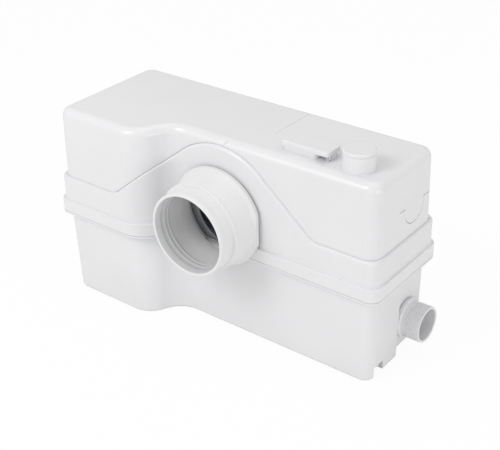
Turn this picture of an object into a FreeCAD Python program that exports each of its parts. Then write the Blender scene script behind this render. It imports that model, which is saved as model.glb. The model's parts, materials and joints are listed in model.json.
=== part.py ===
import FreeCAD, Part
import math
import os
import Sketcher

# Sewage lifting station for one toilet. Millimetres, +Z up, -Y is the side with the
# toilet inlet, +X the end with the side inlet. Origin: middle of the footprint, on the floor.

SIZES = {
    # outline over the rim, seen from above
    "rim_length": 493, "rim_depth": 156, "bulge": 49.5, "curve_foot": -89.6, "curve_deg": 68.4,
    "convex_r": 49, "concave_r": 28, "corner_r": 15,
    # levels
    "foot_gap": 1, "rim_low": 128, "part_line": 132, "rim_top": 151, "band_top": 187, "hood_top": 287,
    # steps in from the rim
    "band_inset": 3.2, "hood_inset": 6.8, "tank_inset": 10, "hood_draft_deg": 0.86, "tank_draft_deg": 1.0,
    "wall": 3.2, "floor_wall": 3.5, "deck_wall": 3, "hood_round": 12, "hood_corner": 18, "tank_corner": 16,
    "shoulder": 2.6, "tank_round": 6, "lip_round": 1.2, "seat_gap": 0.1, "panel_gap": 0.45,
    # arch round the toilet inlet
    "inlet_x": 7.5, "inlet_z": 180, "arch_r": 98, "arch_deg": 40, "arch_foot_r": 26, "arch_wall": 11.5,
    "arch_reach": "=rim_depth / 2 + bulge + 2.5",
    "vault_r": 66, "vault_depth": 4, "vault_wall": 3.2,
    # toilet inlet sleeve, backing ring and lip seal
    "bore_r": 52.3, "socket_r": 60.6, "socket_face": "=rim_depth / 2 + 2.7", "ring_back": "=rim_depth / 2 + 0.2",
    "ring_r": 70, "ring_bore_r": 60.8, "flat_in": 66.5, "sleeve_pipe_r": 52, "sleeve_pipe_in_r": 49.4,
    "sleeve_tail": 2.7, "flange_r": 69.5, "flange_wall": 4, "cone_r": 60.5, "cone_top": 35.3, "bead_r": 62,
    "bead_front": 39.3, "barrel_r": 57, "mouth_out_r": 56, "mouth_r": 53.3, "mouth_top": 62.3,
    "seat_depth": 25.3, "seat_step": 1.2, "mouth_len": 10, "lip_ring_wall": 0.9, "lip_reach": 1.2,
    "lip_low": 34.3, "lip_pitch": 7, "lip_ring_len": 16,
    # side inlet
    "end_recess": "=rim_length / 2 - 15.5", "port_y": "=rim_depth / 2 - 49", "port_face": "=end_recess + 34",
    "port_z": 51.5, "port_r": 25, "port_in_r": 21.6, "recess_front": "=rim_depth / 2 - 77.5", "recess_low": 12,
    "recess_depth": 15, "end_low": 6,
    "port_collar_r": 28, "port_collar_wall": 5, "thread_len": 20,
    "thread_pitch": 4, "thread_depth": 0.7, "port_tail": 14, "port_nut_r": 31, "port_nut_wall": 5,
    "port_seal_wall": 2, "port_seal_in": 1.5, "port_flap_wall": 2.4, "port_flap_r": 20.6, "pin_r": 1.5,
    "port_pin_up": 8, "port_eye_len": 10,
    # foot notch and lug on the right end
    "notch_front": "=23 - rim_depth / 2", "notch_back": "=notch_front + 22",
    "notch_top": 20, "notch_depth": 36, "lug_width": 3.5, "lug_low": 11, "lug_hook": 2.5, "lug_gap": 3,
    "lug_arm": 11, "lug_set": 4, "lug_len": 5, "foot_r": 11, "foot_wall": 3, "foot_in": 32,
    # hood fittings
    "panel_left": "=rim_length / 2 - 192.5", "panel_front": -16.2, "panel_low": 230,
    "knock_y": 20, "knock_z": 226, "knock_r": 23, "ledge": 4,
    "vent_x": "=rim_length / 2 - 54.3", "vent_y": "=40.7 - rim_depth / 2", "vent_top": "=hood_top + 26",
    "vent_r": 20.5, "vent_cap_wall": 4.5, "vent_in_r": 16.5, "pad_wall": 6,
    "hatch_left": "=rim_length / 2 - 157.5", "hatch_right": "=hatch_left + 50",
    "hatch_front": "=28.5 - rim_depth / 2", "hatch_back": "=hatch_front + 27.5", "hatch_top": "=hood_top + 8",
    "lid_left": "=hatch_left - 3", "lid_right": "=hatch_right + 18", "lid_front": "=hatch_front - 1",
    "lid_back": "=hatch_back + 1.5", "lid_wall": 6, "lug_in": 9, "lid_corner": 5,
    "hatch_wall": 3, "ear_r": 3.2, "lug_r": 4.2, "lug_pin_x": "=hatch_right + 13", "lug_block": 9,
    # drive
    "shaft_x": "=-rim_length * 165 / 493", "shaft_y": -38, "shaft_r": 6, "shaft_low": 24, "motor_r": 46,
    "motor_wall": 3, "motor_top": "=hood_top - 29", "shaft_top": "=motor_top + 1",
    "hub_r": 17.6, "hub_low": 172, "bearing_r": 14, "bearing_wall": 10,
    "seal_wall": 9, "stator_r": 42.7, "stator_in_r": 23.4, "stator_low": 204, "stator_len": 36,
    "winding_r": 39, "winding_in_r": 25.5, "winding_len": 7, "rotor_r": 22.8, "cap_dome": 10,
    "cap_ribs": 12, "motor_screw_r": 2.2, "motor_screw_head_r": 3.6, "motor_screw_in": 5.5,
    "motor_screw_seat": 4.6, "motor_screw_head": 2.5,
    "basket_r": 47, "basket_wall": 2.5, "basket_low": 56, "slot_width": 5, "slot_low": 66, "slot_top": 140,
    "slots": 20, "window_half": 34, "window_low": 106, "window_top": 172, "basket_hole_r": 26,
    "cutter_z": 68, "cutter_wall": 3.5, "cutter_r": 43, "cutter_width": 16, "cutter_hub_r": 11,
    "cutter_tip": 10, "pump_r": 42, "pump_low": 12, "pump_top": 46, "pump_in_r": 38.5, "pump_eye_r": 19,
    "post_r": 4, "impeller_r": 34, "impeller_low": 22, "impeller_wall": 3, "vane_height": 14, "vane_wall": 3,
    "vanes": 6, "outlet_r": 14, "outlet_in_r": 11, "outlet_shift": 26,
    # discharge line
    "pipe_r": 17, "pipe_in_r": 14.1, "pipe_y": 26, "pipe_z": 222, "bend_r": 18, "riser_start": 3.2,
    "riser_top": 192, "valve_left": "=rim_length / 2 - 106.5", "valve_len": 46, "valve_r": 24,
    "valve_in_r": 20.5, "spigot_end": "=rim_length / 2 - 30.5", "spigot_r": 16, "spigot_in_r": 13,
    "root_step": 0.4, "spigot_root": 4, "flap_r": 17.5, "flap_wall": 2.4, "grommet_r": 21.6, "saddle_wall": 6,
    # level switch
    "lever_len": 56, "bell_x": "=inlet_x + vault_r + lever_len / 2 + 6.5", "bell_y": -28,
    "bell_r": 14, "bell_in_r": 11.5, "bell_low": 22, "nipple_r": 5,
    "switch_r": 22, "switch_low": 196, "switch_height": 14, "plunger_r": 3, "plunger_up": 8,
    "lever_wall": 3, "lever_width": 8, "micro_gap": 6, "micro_len": 20, "micro_width": 12,
    "micro_height": 14,
    # electrics
    "box_left": "=bell_x + 42", "box_len": "=rim_length / 2 - box_left - 34.5",
    "box_front": "=16 - rim_depth / 2", "box_width": 50, "box_height": 46, "box_wall": 2.5,
    "terminal_len": "=box_len - 24", "terminal_width": 20, "terminal_height": 14,
    "capacitor_r": 17, "capacitor_len": 62, "capacitor_x": "=-rim_length * 90 / 493", "capacitor_y": -35,
    "gland_x": "=box_left",
    "gland_z": 206, "gland_r": 9, "gland_nut_r": 12,
    # chute under the inlet
    "chute_left": "=shaft_x + basket_r + 4", "chute_right": "=inlet_x + 62.5", "chute_low": 104,
    "chute_high": 126, "chute_wall": 2.5, "chute_front": "=rim_depth / 2 - 16", "chute_back": 4,
    # gasket and screws of the rim
    "gasket_in": 7.2, "gasket_width": 2.6, "gasket_depth": 2, "screw_in": 3.7, "screw_r": 1.6,
    "screw_head_r": 2.9, "screw_head": 2, "screw_len": 14,
}

os.makedirs("parts", exist_ok=True)
doc = FreeCAD.newDocument("lifting_station")
sheet = doc.addObject("Spreadsheet::Sheet", "dims")


class Size:
    """A size: its value now and the expression that binds it to the sheet."""

    def __init__(self, value, text):
        self.value = value
        self.text = text

    def join(self, other, sign, value, turned=False):
        mine, theirs = self.text, other.text if isinstance(other, Size) else repr(other)
        if turned:
            mine, theirs = theirs, mine
        return Size(value, "(%s %s %s)" % (mine, sign, theirs))

    def __add__(self, other):
        return self.join(other, "+", self.value + number(other))

    def __radd__(self, other):
        return self.join(other, "+", number(other) + self.value, True)

    def __sub__(self, other):
        return self.join(other, "-", self.value - number(other))

    def __rsub__(self, other):
        return self.join(other, "-", number(other) - self.value, True)

    def __mul__(self, other):
        return self.join(other, "*", self.value * number(other))

    def __rmul__(self, other):
        return self.join(other, "*", number(other) * self.value, True)

    def __truediv__(self, other):
        return self.join(other, "/", self.value / number(other))

    def __neg__(self):
        return Size(-self.value, "(0 - %s)" % self.text)


class Sheet:
    """The sizes by name, each with its value in the sheet and bound to its cell."""

    def __getattr__(self, name):
        return Size(float(sheet.get(name)), "dims." + name)


d = Sheet()


def number(size):
    return size.value if isinstance(size, Size) else size


def sin(angle):
    return Size(math.sin(math.radians(number(angle))), "sin(%s)" % angle.text)


def cos(angle):
    return Size(math.cos(math.radians(number(angle))), "cos(%s)" % angle.text)


def tan(angle):
    return Size(math.tan(math.radians(number(angle))), "tan(%s)" % angle.text)


def fill_sheet():
    """Write the sizes; one that goes by others is a formula of the sheet."""
    for row, (name, value) in enumerate(SIZES.items(), start=1):
        sheet.set("A%d" % row, name)
        sheet.set("B%d" % row, str(value))
        sheet.setAlias("B%d" % row, name)
    doc.recompute()


def bind(thing, where, size):
    if isinstance(size, Size):
        thing.setExpression(where, size.text)
    elif size:
        thing.setExpression(where, repr(size))


def put(thing, x=0, y=0, z=0, turn=None):
    """Set where a thing stands, and how it is turned, as (axis, degrees)."""
    if turn:
        thing.Placement.Rotation = FreeCAD.Rotation(FreeCAD.Vector(*turn[0]), turn[1])
    for name, size in (("x", x), ("y", y), ("z", z)):
        bind(thing, "Placement.Base." + name, size)
    return thing


TO_X = ((0, 1, 0), 90)
TO_FRONT = ((1, 0, 0), 90)
TO_BACK = ((1, 0, 0), -90)


def box(name, low, high):
    """A box between two corners."""
    thing = doc.addObject("Part::Box", name)
    for side, start, end in zip(("Length", "Width", "Height"), low, high):
        bind(thing, side, end - start)
    return put(thing, *low)


def cylinder(name, radius, length, x=0, y=0, z=0, turn=None):
    thing = doc.addObject("Part::Cylinder", name)
    bind(thing, "Radius", radius)
    bind(thing, "Height", length)
    return put(thing, x, y, z, turn)


def quarter_ring(name, bend, radius, x=0, y=0, z=0, turn=None):
    """A quarter of a torus, for the bend of a pipe."""
    thing = doc.addObject("Part::Torus", name)
    bind(thing, "Radius1", bend)
    bind(thing, "Radius2", radius)
    thing.Angle3 = 90
    return put(thing, x, y, z, turn)


def fuse(name, things):
    thing = doc.addObject("Part::MultiFuse", name)
    thing.Shapes = things
    thing.Refine = True
    return thing


def common(name, one, other):
    thing = doc.addObject("Part::Common", name)
    thing.Base = one
    thing.Tool = other
    return thing


def cut(name, base, tools):
    thing = doc.addObject("Part::Cut", name)
    thing.Base = base
    thing.Tool = tools[0] if len(tools) == 1 else fuse(name + "_tools", tools)
    return thing


def group(name, things):
    thing = doc.addObject("Part::Compound", name)
    thing.Links = things
    return thing


def polygon(body, role, name, points, offset=0):
    """A closed sketch through bound points, on one of the body's own planes."""
    sketch = body.newObject("Sketcher::SketchObject", name)
    plane = [thing for thing in body.Origin.OriginFeatures if thing.Role == role][0]
    sketch.AttachmentSupport = [(plane, "")]
    sketch.MapMode = "FlatFace"
    bind(sketch, ".AttachmentOffset.Base.z", offset)
    spots = [FreeCAD.Vector(number(across), number(up), 0) for across, up in points]
    count = len(spots)
    for index, spot in enumerate(spots):
        sketch.addGeometry(Part.LineSegment(spot, spots[(index + 1) % count]), False)
    for index in range(count):
        sketch.addConstraint(Sketcher.Constraint("Coincident", index, 2, (index + 1) % count, 1))
    for index, point in enumerate(points):
        for kind, size in zip(("DistanceX", "DistanceY"), point):
            made = sketch.addConstraint(Sketcher.Constraint(kind, -1, 1, index, 1, float(number(size))))
            bind(sketch, "Constraints[%d]" % made, size)
    return sketch


def prism(name, role, points, length, offset=0, taper=0):
    """A padded outline: from the XZ plane it grows to -Y, from the XY plane up."""
    body = doc.addObject("PartDesign::Body", name)
    pad = body.newObject("PartDesign::Pad", name + "_pad")
    pad.Profile = polygon(body, role, name + "_sketch", points, offset)
    bind(pad, "Length", length)
    bind(pad, "TaperAngle", taper)
    doc.recompute()
    return body


def turned(name, points, x=0, y=0, z=0, turn=None):
    """A turned piece: points of (radius, height) about its own Z axis."""
    body = doc.addObject("PartDesign::Body", name)
    sketch = polygon(body, "XZ_Plane", name + "_sketch", points)
    spin = body.newObject("PartDesign::Revolution", name + "_spin")
    spin.Profile = sketch
    spin.ReferenceAxis = (sketch, ["V_Axis"])
    spin.Angle = 360
    return put(body, x, y, z, turn)


def tube(name, outer, inner, low, high, x=0, y=0, z=0, turn=None):
    return turned(name, [(inner, low), (outer, low), (outer, high), (inner, high)], x, y, z, turn)


def rounded(body, name, radius, wanted):
    """Round the edges of a body that the test picks."""
    base = body.Tip
    edges = ["Edge%d" % (index + 1) for index, edge in enumerate(base.Shape.Edges) if wanted(edge)]
    fillet = body.newObject("PartDesign::Fillet", name)
    fillet.Base = (base, edges)
    bind(fillet, "Radius", radius)
    doc.recompute()
    return body


def upright_at(x, y, low, high):
    """Test for the leaning or upright edge that starts over (x, y)."""
    def test(edge):
        ends = sorted((vertex.Point for vertex in edge.Vertexes), key=lambda point: point.z)
        if len(ends) != 2 or abs(ends[0].z - number(low)) > 0.01 or abs(ends[1].z - number(high)) > 0.01:
            return False
        return math.hypot(ends[0].x - number(x), ends[0].y - number(y)) < 0.01
    return test


def level_at(height):
    def test(edge):
        return abs(edge.BoundBox.ZMin - number(height)) < 0.01 and edge.BoundBox.ZLength < 0.01
    return test


def outline(inset):
    """The plan of the station, stepped in from the rim: a straight back, and a front
    that swings forward in an S to the bulge on the left."""
    half, back = d.rim_length / 2 - inset, d.rim_depth / 2 - inset
    front, step = inset - d.rim_depth / 2 - d.bulge, inset - d.rim_depth / 2
    bend = d.curve_foot - tan(d.curve_deg / 2) * inset
    return [(-half, back), (-half, front), (bend, front),
            (bend + d.bulge / tan(d.curve_deg), step), (half, step), (half, back)]


def block(name, inset, low, high, corner, taper=0, top=0, bottom=0):
    """A body with the plan of the station between two levels."""
    points = outline(inset)
    body = prism(name, "XY_Plane", points, high - low, low, taper)
    radii = [corner, corner, d.convex_r - inset, d.concave_r + inset, corner, corner]
    for index, (point, radius) in enumerate(zip(points, radii)):
        rounded(body, "%s_corner%d" % (name, index), radius, upright_at(*point, low, high))
    if number(top):
        rounded(body, name + "_top", top, level_at(high))
    if number(bottom):
        rounded(body, name + "_bottom", bottom, level_at(low))
    return body


def arch(name, radius, reach):
    """The arched field over the band: a circle about the inlet with straight flanks."""
    side, crown = sin(d.arch_deg) * radius, cos(d.arch_deg) * radius + d.inlet_z
    foot = side + (crown - d.band_top) / tan(d.arch_deg)
    far = d.rim_length / 2
    points = [(-far, d.rim_top), (-far, d.band_top), (d.inlet_x - foot, d.band_top), (d.inlet_x - side, crown),
              (d.inlet_x + side, crown), (d.inlet_x + foot, d.band_top), (far, d.band_top), (far, d.rim_top)]
    body = prism(name + "_flanks", "XZ_Plane", points, reach - d.chute_front, d.chute_front)

    def at_foot(edge):
        spot = edge.BoundBox
        near = min(abs(spot.XMin - number(points[index][0])) for index in (2, 5)) < 0.01
        return near and spot.YLength > 1 and abs(spot.ZMin - number(d.band_top)) < 0.01 and spot.ZLength < 0.01
    rounded(body, name + "_feet", d.arch_foot_r, at_foot)
    round_top = cylinder(name + "_crown", radius, reach - d.chute_front, d.inlet_x, -d.chute_front, d.inlet_z,
                         TO_FRONT)
    return fuse(name, [body, round_top])


def inlet_cylinder(name, radius, front, back):
    """A cylinder on the axis of the toilet inlet between two distances in front of Y = 0."""
    return cylinder(name, radius, front - back, d.inlet_x, -back, d.inlet_z, TO_FRONT)


def tank():
    floor = d.foot_gap
    outer = block("tank_outer", d.tank_inset, floor, d.part_line, d.tank_corner, d.tank_draft_deg,
                  bottom=d.tank_round)
    rim = block("tank_rim", 0, d.rim_low, d.part_line, d.corner_r)
    inner = block("tank_inner", d.tank_inset + d.wall, floor + d.floor_wall, d.part_line + 1,
                  d.tank_corner - d.wall, d.tank_draft_deg)
    far, back, wall = d.rim_length / 2, d.rim_depth / 2, d.wall
    keep = fuse("tank_inner_steps", [
        box("keep_recess", (d.end_recess - wall, d.recess_front - wall, 0), (far, back, d.part_line + 2)),
        box("keep_corner", (d.end_recess - d.recess_depth - wall, d.recess_front - wall, 0),
            (far, back, d.recess_low + wall)),
        box("keep_end", (d.end_recess - d.recess_depth - wall, d.notch_back - wall, 0),
            (far, d.recess_front, d.end_low + wall)),
        box("keep_notch", (far - d.tank_inset - d.notch_depth - wall, d.notch_front - wall, 0),
            (far, d.notch_back + wall, d.notch_top + wall))])
    hollow = cut("tank_hollow", inner, [keep])
    lug_x, lug_back = far - d.tank_inset - d.lug_set - d.lug_len, d.notch_back - d.lug_gap
    lug = fuse("tank_lug", [
        box("lug_leg", (lug_x, lug_back - d.lug_width, d.lug_low), (lug_x + d.lug_len, lug_back, d.notch_top + 1)),
        box("lug_bar", (lug_x, d.notch_back - d.lug_arm, d.notch_top - d.lug_hook),
            (lug_x + d.lug_len, d.notch_back + 1, d.notch_top + 1))])
    shell = cut("tank_shell", fuse("tank_walls", [outer, rim]), [
        hollow,
        box("end_step", (d.end_recess, d.recess_front, 0), (far + 1, back + 1, d.rim_low)),
        box("end_corner", (d.end_recess - d.recess_depth, d.recess_front, 0), (far + 1, back + 1, d.recess_low)),
        box("end_foot", (d.end_recess - d.recess_depth, d.notch_back - 1, 0),
            (far + 1, d.recess_front + 1, d.end_low)),
        box("foot_notch", (far - d.tank_inset - d.notch_depth, d.notch_front, 0),
            (far + 1, d.notch_back, d.notch_top)),
        cylinder("port_bore", d.port_r + d.seat_gap, far, far / 2, d.port_y, d.port_z, TO_X),
        gasket_ring("gasket_groove", 0)] + foot_pads("foot_pocket", 0.1) + rim_screw_parts("tank_screw_hole", 0.1))
    return fuse("tank", [shell, lug])


def gasket_ring(name, play):
    low, high = d.part_line - d.gasket_depth, d.part_line
    outer = block(name + "_outer", d.gasket_in + play, low, high, d.corner_r - d.gasket_in)
    inner = block(name + "_inner", d.gasket_in + d.gasket_width - play, low - 1, high + 1,
                  d.corner_r - d.gasket_in - d.gasket_width)
    return cut(name, outer, [inner])


def foot_spots():
    far, back = d.rim_length / 2 - d.foot_in, d.rim_depth / 2 - d.foot_in
    return [(0, 0), (-far, back), (far - d.foot_in, back), (-far, -back - d.bulge), (far - d.foot_in, -back)]


def foot_pads(name, play):
    return [cylinder("%s%d" % (name, index), d.foot_r + play, d.foot_wall, x, y, 0)
            for index, (x, y) in enumerate(foot_spots())]


def rim_screw_spots():
    far, back = d.rim_length / 2 - d.screw_in, d.rim_depth / 2 - d.screw_in
    across = d.rim_length / 4
    return [(-across, back), (across / 2, back), (across + across / 2, back), (-far, -back / 2), (-far, back / 2),
            (-across - across / 2, -back - d.bulge), (across, -back), (far, -back / 2)]


def rim_screw_parts(name, play):
    screws = []
    for index, (x, y) in enumerate(rim_screw_spots()):
        shank = cylinder("%s_shank%d" % (name, index), d.screw_r + play, d.screw_len, x, y, d.rim_low)
        head = cylinder("%s_head%d" % (name, index), d.screw_head_r + play, d.screw_head, x, y, d.rim_low)
        screws.append(fuse("%s%d" % (name, index), [shank, head]))
    return screws


def cover():
    rim = block("cover_rim", 0, d.part_line, d.rim_top, d.corner_r, top=d.lip_round)
    band = block("cover_band", d.band_inset, d.part_line, d.band_top, d.corner_r, top=d.shoulder)
    inner = block("cover_inner", d.tank_inset + 1, d.part_line - 1, d.band_top - d.deck_wall, d.tank_corner)
    front = block("arch_front", d.band_inset, d.rim_top, d.hood_top, d.corner_r)
    behind = block("arch_behind", d.arch_wall, d.rim_top - 1, d.hood_top + 1, d.tank_corner)
    field = common("arch_field", cut("arch_skin", front, [behind]), arch("cover_arch", d.arch_r, d.arch_reach))
    face = d.rim_depth / 2 - d.band_inset
    vault_front = face - 2
    vault = common("vault_half", inlet_cylinder("vault_round", d.vault_r, vault_front, -d.vault_depth),
                   box("vault_keep", (-d.rim_length / 2, -d.rim_depth, d.band_top - d.deck_wall),
                       (d.rim_length / 2, d.rim_depth, d.hood_top)))
    shaft_hole = cylinder("deck_shaft_hole", d.hub_r + d.seat_gap, d.rim_top, d.shaft_x, d.shaft_y, d.rim_top)
    riser_hole = cylinder("deck_riser_hole", d.grommet_r - d.wall, d.rim_top, riser_x(), d.pipe_y, d.rim_top)
    bell_hole = cylinder("deck_bell_hole", d.nipple_r + d.seat_gap, d.rim_top, d.bell_x, d.bell_y, d.rim_top)
    shell = cut("cover_shell", fuse("cover_walls", [rim, band, field]), [
        inner, inlet_cylinder("ring_seat", d.ring_r + 0.4, d.socket_face + 1, d.ring_back - 0.3)])
    # the socket stands clear of the tank rim below the parting line
    socket = cut("cover_socket", inlet_cylinder("socket_round", d.socket_r, d.socket_face, face - 3), [
        box("socket_clear", (-d.rim_length / 2, -d.rim_depth / 2 - 0.3, 0),
            (d.rim_length / 2, 0, d.part_line))])
    saddle = box("pipe_saddle", (d.vault_r + d.inlet_x, d.pipe_y - d.pipe_r / 2, d.band_top - 1),
                 (d.vault_r + d.inlet_x + d.saddle_wall, d.pipe_y + d.pipe_r / 2, d.pipe_z))
    valve_seat = box("valve_saddle", (d.valve_left + d.saddle_wall, d.pipe_y - d.pipe_r / 2, d.band_top - 1),
                     (d.valve_left + d.saddle_wall * 2, d.pipe_y + d.pipe_r / 2, d.pipe_z))
    body = fuse("cover_body", [shell, vault, socket, saddle, valve_seat])
    return cut("cover", body, [
        inlet_cylinder("vault_hollow", d.vault_r - d.vault_wall, face - d.arch_wall + d.band_inset,
                       d.vault_wall - d.vault_depth),
        inlet_cylinder("inlet_bore", d.bore_r, d.rim_depth, d.chute_front),
        inlet_cylinder("socket_hollow", d.socket_r - d.wall, d.socket_face - d.wall, face - d.arch_wall),
        shaft_hole, riser_hole, bell_hole,
        cylinder("saddle_round", d.pipe_r + d.seat_gap, d.rim_length, 0, d.pipe_y, d.pipe_z, TO_X),
        cylinder("saddle_valve", d.valve_r + d.seat_gap, d.valve_len, d.valve_left, d.pipe_y, d.pipe_z, TO_X)]
        + rim_screw_parts("cover_screw_hole", 0))


def hood_shell(name, inset, thick):
    """The hood's skin, with a given step in and thickness."""
    outer = block(name + "_outer", d.hood_inset + inset, d.band_top, d.hood_top - inset, d.hood_corner - inset,
                  -d.hood_draft_deg, top=d.hood_round - inset)
    inner = block(name + "_inner", d.hood_inset + inset + thick, d.band_top - 1, d.hood_top - inset - thick,
                  d.hood_corner - inset - thick, -d.hood_draft_deg, top=d.hood_round - inset - thick)
    return cut(name, outer, [inner])


def panel_shape(name, grow):
    """The corner of the hood that comes off over the discharge line."""
    far = d.rim_length / 2
    return fuse(name, [
        box(name + "_corner", (d.panel_left - grow, d.panel_front - grow, d.panel_low - grow),
            (far, d.rim_depth, d.hood_top + 1)),
        cylinder(name + "_round", d.knock_r + grow, d.hood_round * 2, far - d.hood_round * 2, d.knock_y, d.knock_z,
                 TO_X)])


def hood():
    skin = hood_shell("hood_skin", 0, d.wall)
    ledge = common("hood_ledge", hood_shell("ledge_skin", d.wall - 0.5, d.wall),
                   cut("ledge_strip", panel_shape("ledge_wide", d.ledge), [panel_shape("ledge_core", -d.ledge)]))
    top = d.hood_top - d.wall
    vent = cylinder("vent_boss", d.vent_r, d.vent_top - d.vent_cap_wall - top, d.vent_x, d.vent_y, top)
    hatch = rounded_box("hatch_base", (d.hatch_left, d.hatch_front, top), (d.hatch_right, d.hatch_back, d.hatch_top),
                        d.lid_corner)
    lug_front, lug_back = d.hatch_front + d.lug_in, d.hatch_back - d.lug_in
    lug = fuse("hatch_lug", [
        box("hatch_lug_stem", (d.lug_pin_x - d.ear_r, lug_front, top),
            (d.lug_pin_x + d.ear_r, lug_back, lid_pin_z())),
        cylinder("hatch_lug_round", d.lug_r, lug_back - lug_front, d.lug_pin_x, lug_front, lid_pin_z(), TO_BACK)])
    opened = cut("hood_open", skin, [arch("hood_arch", d.arch_r + d.panel_gap, d.arch_reach),
                                     panel_shape("panel_opening", d.panel_gap)])
    inside = box("hatch_hollow", (d.hatch_left + d.hatch_wall, d.hatch_front + d.hatch_wall, top + d.wall),
                 (d.hatch_right - d.hatch_wall, d.hatch_back - d.hatch_wall, d.hatch_top + 1))
    grate = [cylinder("hatch_hole%d" % index, d.hatch_wall, d.wall + 2,
                      d.hatch_left + (d.hatch_right - d.hatch_left) * (index + 1) / 6,
                      (d.hatch_front + d.hatch_back) / 2, top - 1) for index in range(5)]
    vent_hollow = cylinder("vent_hollow", d.vent_in_r, d.vent_top, d.vent_x, d.vent_y, d.hood_top)
    vent_hole = cylinder("vent_hole", d.vent_in_r / 2, d.wall + 2, d.vent_x, d.vent_y, top - 1)
    gland = cylinder("gland_hole", d.gland_r + d.seat_gap, d.rim_depth, d.gland_x, 0, d.gland_z, TO_BACK)
    return cut("hood", fuse("hood_body", [opened, ledge, vent, hatch, lug]),
               [inside, vent_hollow, vent_hole, gland, lid_pin("lid_pin_hole", 0)] + grate)


def rounded_box(name, low, high, radius):
    points = [(low[0], low[1]), (high[0], low[1]), (high[0], high[1]), (low[0], high[1])]
    body = prism(name, "XY_Plane", points, high[2] - low[2], low[2])

    def upright(edge):
        return edge.BoundBox.ZLength > 1
    return rounded(body, name + "_corners", radius, upright)


def panel():
    skin = hood_shell("panel_skin", 0, d.wall - 0.5 - d.seat_gap)
    return common("discharge_panel", skin, panel_shape("panel_body", 0))


def lid_pin_z():
    return d.hatch_top - d.lug_block / 2


def lid_pin(name, play):
    """The pin of the filter lid, through the lug and the two ears."""
    low, high = d.hatch_front + d.lug_in - d.hatch_wall - 0.5, d.hatch_back - d.lug_in + d.hatch_wall + 0.5
    return cylinder(name, d.pin_r + play, high - low, d.lug_pin_x, low, lid_pin_z(), TO_BACK)


def filter_lid():
    low, high = d.hatch_top, d.hatch_top + d.lid_wall
    plate = rounded_box("lid_plate", (d.lid_left, d.lid_front, low), (d.lid_right, d.lid_back, high), d.lid_corner)
    rounded(plate, "lid_edge", d.lip_round, level_at(high))
    ears = []
    for index, y in enumerate((d.hatch_front + d.lug_in - d.hatch_wall, d.hatch_back - d.lug_in + 0.3)):
        ears.append(box("lid_ear%d" % index, (d.lug_pin_x - d.ear_r, y, lid_pin_z()),
                        (d.lug_pin_x + d.ear_r, y + d.hatch_wall - 0.3, low + 1)))
        ears.append(cylinder("lid_eye%d" % index, d.ear_r, d.hatch_wall - 0.3, d.lug_pin_x, y, lid_pin_z(), TO_BACK))
    return cut("filter_lid", fuse("lid_body", [plate] + ears), [lid_pin("lid_ear_hole", d.seat_gap)])


def flange_flat(name):
    """What the flat on the right of the flange and of the ring takes off."""
    return box(name, (d.inlet_x + d.flat_in, -d.rim_depth, 0), (d.inlet_x + d.ring_r * 2, 0, d.hood_top))


def inlet_sleeve():
    body = turned("sleeve_round", [
        (d.sleeve_pipe_in_r, -d.sleeve_tail), (d.sleeve_pipe_r, -d.sleeve_tail), (d.sleeve_pipe_r, 0),
        (d.flange_r, 0), (d.flange_r, d.flange_wall - 1), (d.flange_r - 2, d.flange_wall),
        (d.flange_r - 5, d.flange_wall + 0.6), (d.cone_r, d.cone_top), (d.bead_r, d.cone_top + 0.6),
        (d.bead_r, d.bead_front - 1), (d.bead_r - 1.5, d.bead_front), (d.barrel_r, d.bead_front),
        (d.barrel_r - 0.6, d.mouth_top - 8), (d.mouth_out_r + 1.4, d.mouth_top - 2.5),
        (d.mouth_out_r, d.mouth_top), (d.mouth_r + 0.6, d.mouth_top), (d.mouth_r, d.mouth_top - 1),
        (d.mouth_r, d.mouth_top - 1 - d.mouth_len), (d.mouth_r + d.seat_step, d.mouth_top - 1 - d.mouth_len),
        (d.mouth_r + d.seat_step, d.seat_depth), (d.sleeve_pipe_in_r, d.seat_depth - 8)],
        d.inlet_x, -d.socket_face, d.inlet_z, TO_FRONT)
    return cut("inlet_sleeve", body, [flange_flat("sleeve_flat")])


def lip_seal():
    """A ring with two lips that lean inwards."""
    outer, inner = d.mouth_r + d.seat_step - 0.05, d.mouth_r - d.lip_ring_wall
    low = d.lip_low
    tip = inner - d.lip_reach
    points = [(outer, low), (outer, low + d.lip_ring_len), (inner, low + d.lip_ring_len)]
    for number_of_lip in (1, 0):
        foot = low + 2 + d.lip_pitch * number_of_lip
        points += [(inner, foot + 3), (tip, foot + 0.8), (tip, foot), (inner, foot + 0.6)]
    points.append((inner, low))
    return turned("inlet_lip_seal", points, d.inlet_x, -d.socket_face, d.inlet_z, TO_FRONT)


def backing_ring():
    disc = inlet_cylinder("ring_disc", d.ring_r, d.socket_face, d.ring_back)
    hole = inlet_cylinder("ring_hole", d.ring_bore_r, d.socket_face + 1, d.ring_back - 1)
    return cut("inlet_backing_ring", disc, [hole, flange_flat("ring_flat")])


def side_port():
    """The threaded barrel: its tail passes the tank wall, its collar stops on it."""
    tail, face = -d.port_tail, d.port_face - d.end_recess
    points = [(d.port_in_r, tail), (d.port_r, tail), (d.port_r, d.port_seal_wall),
              (d.port_collar_r, d.port_seal_wall), (d.port_collar_r, d.port_seal_wall + d.port_collar_wall),
              (d.port_r - 1.2, d.port_seal_wall + d.port_collar_wall)]
    turns = int(number(d.thread_len / d.thread_pitch))
    for index in range(turns):
        start = face - 2 - d.thread_pitch * (turns - index)
        points += [(d.port_r - 1.2, start), (d.port_r, start + d.thread_pitch * 0.3),
                   (d.port_r, start + d.thread_pitch * 0.6), (d.port_r - 1.2, start + d.thread_pitch * 0.9)]
    points += [(d.port_r - 1.2, face - 1), (d.port_r - 2.2, face), (d.port_in_r, face)]
    return turned("side_port", points, d.end_recess, d.port_y, d.port_z, TO_X)


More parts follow.
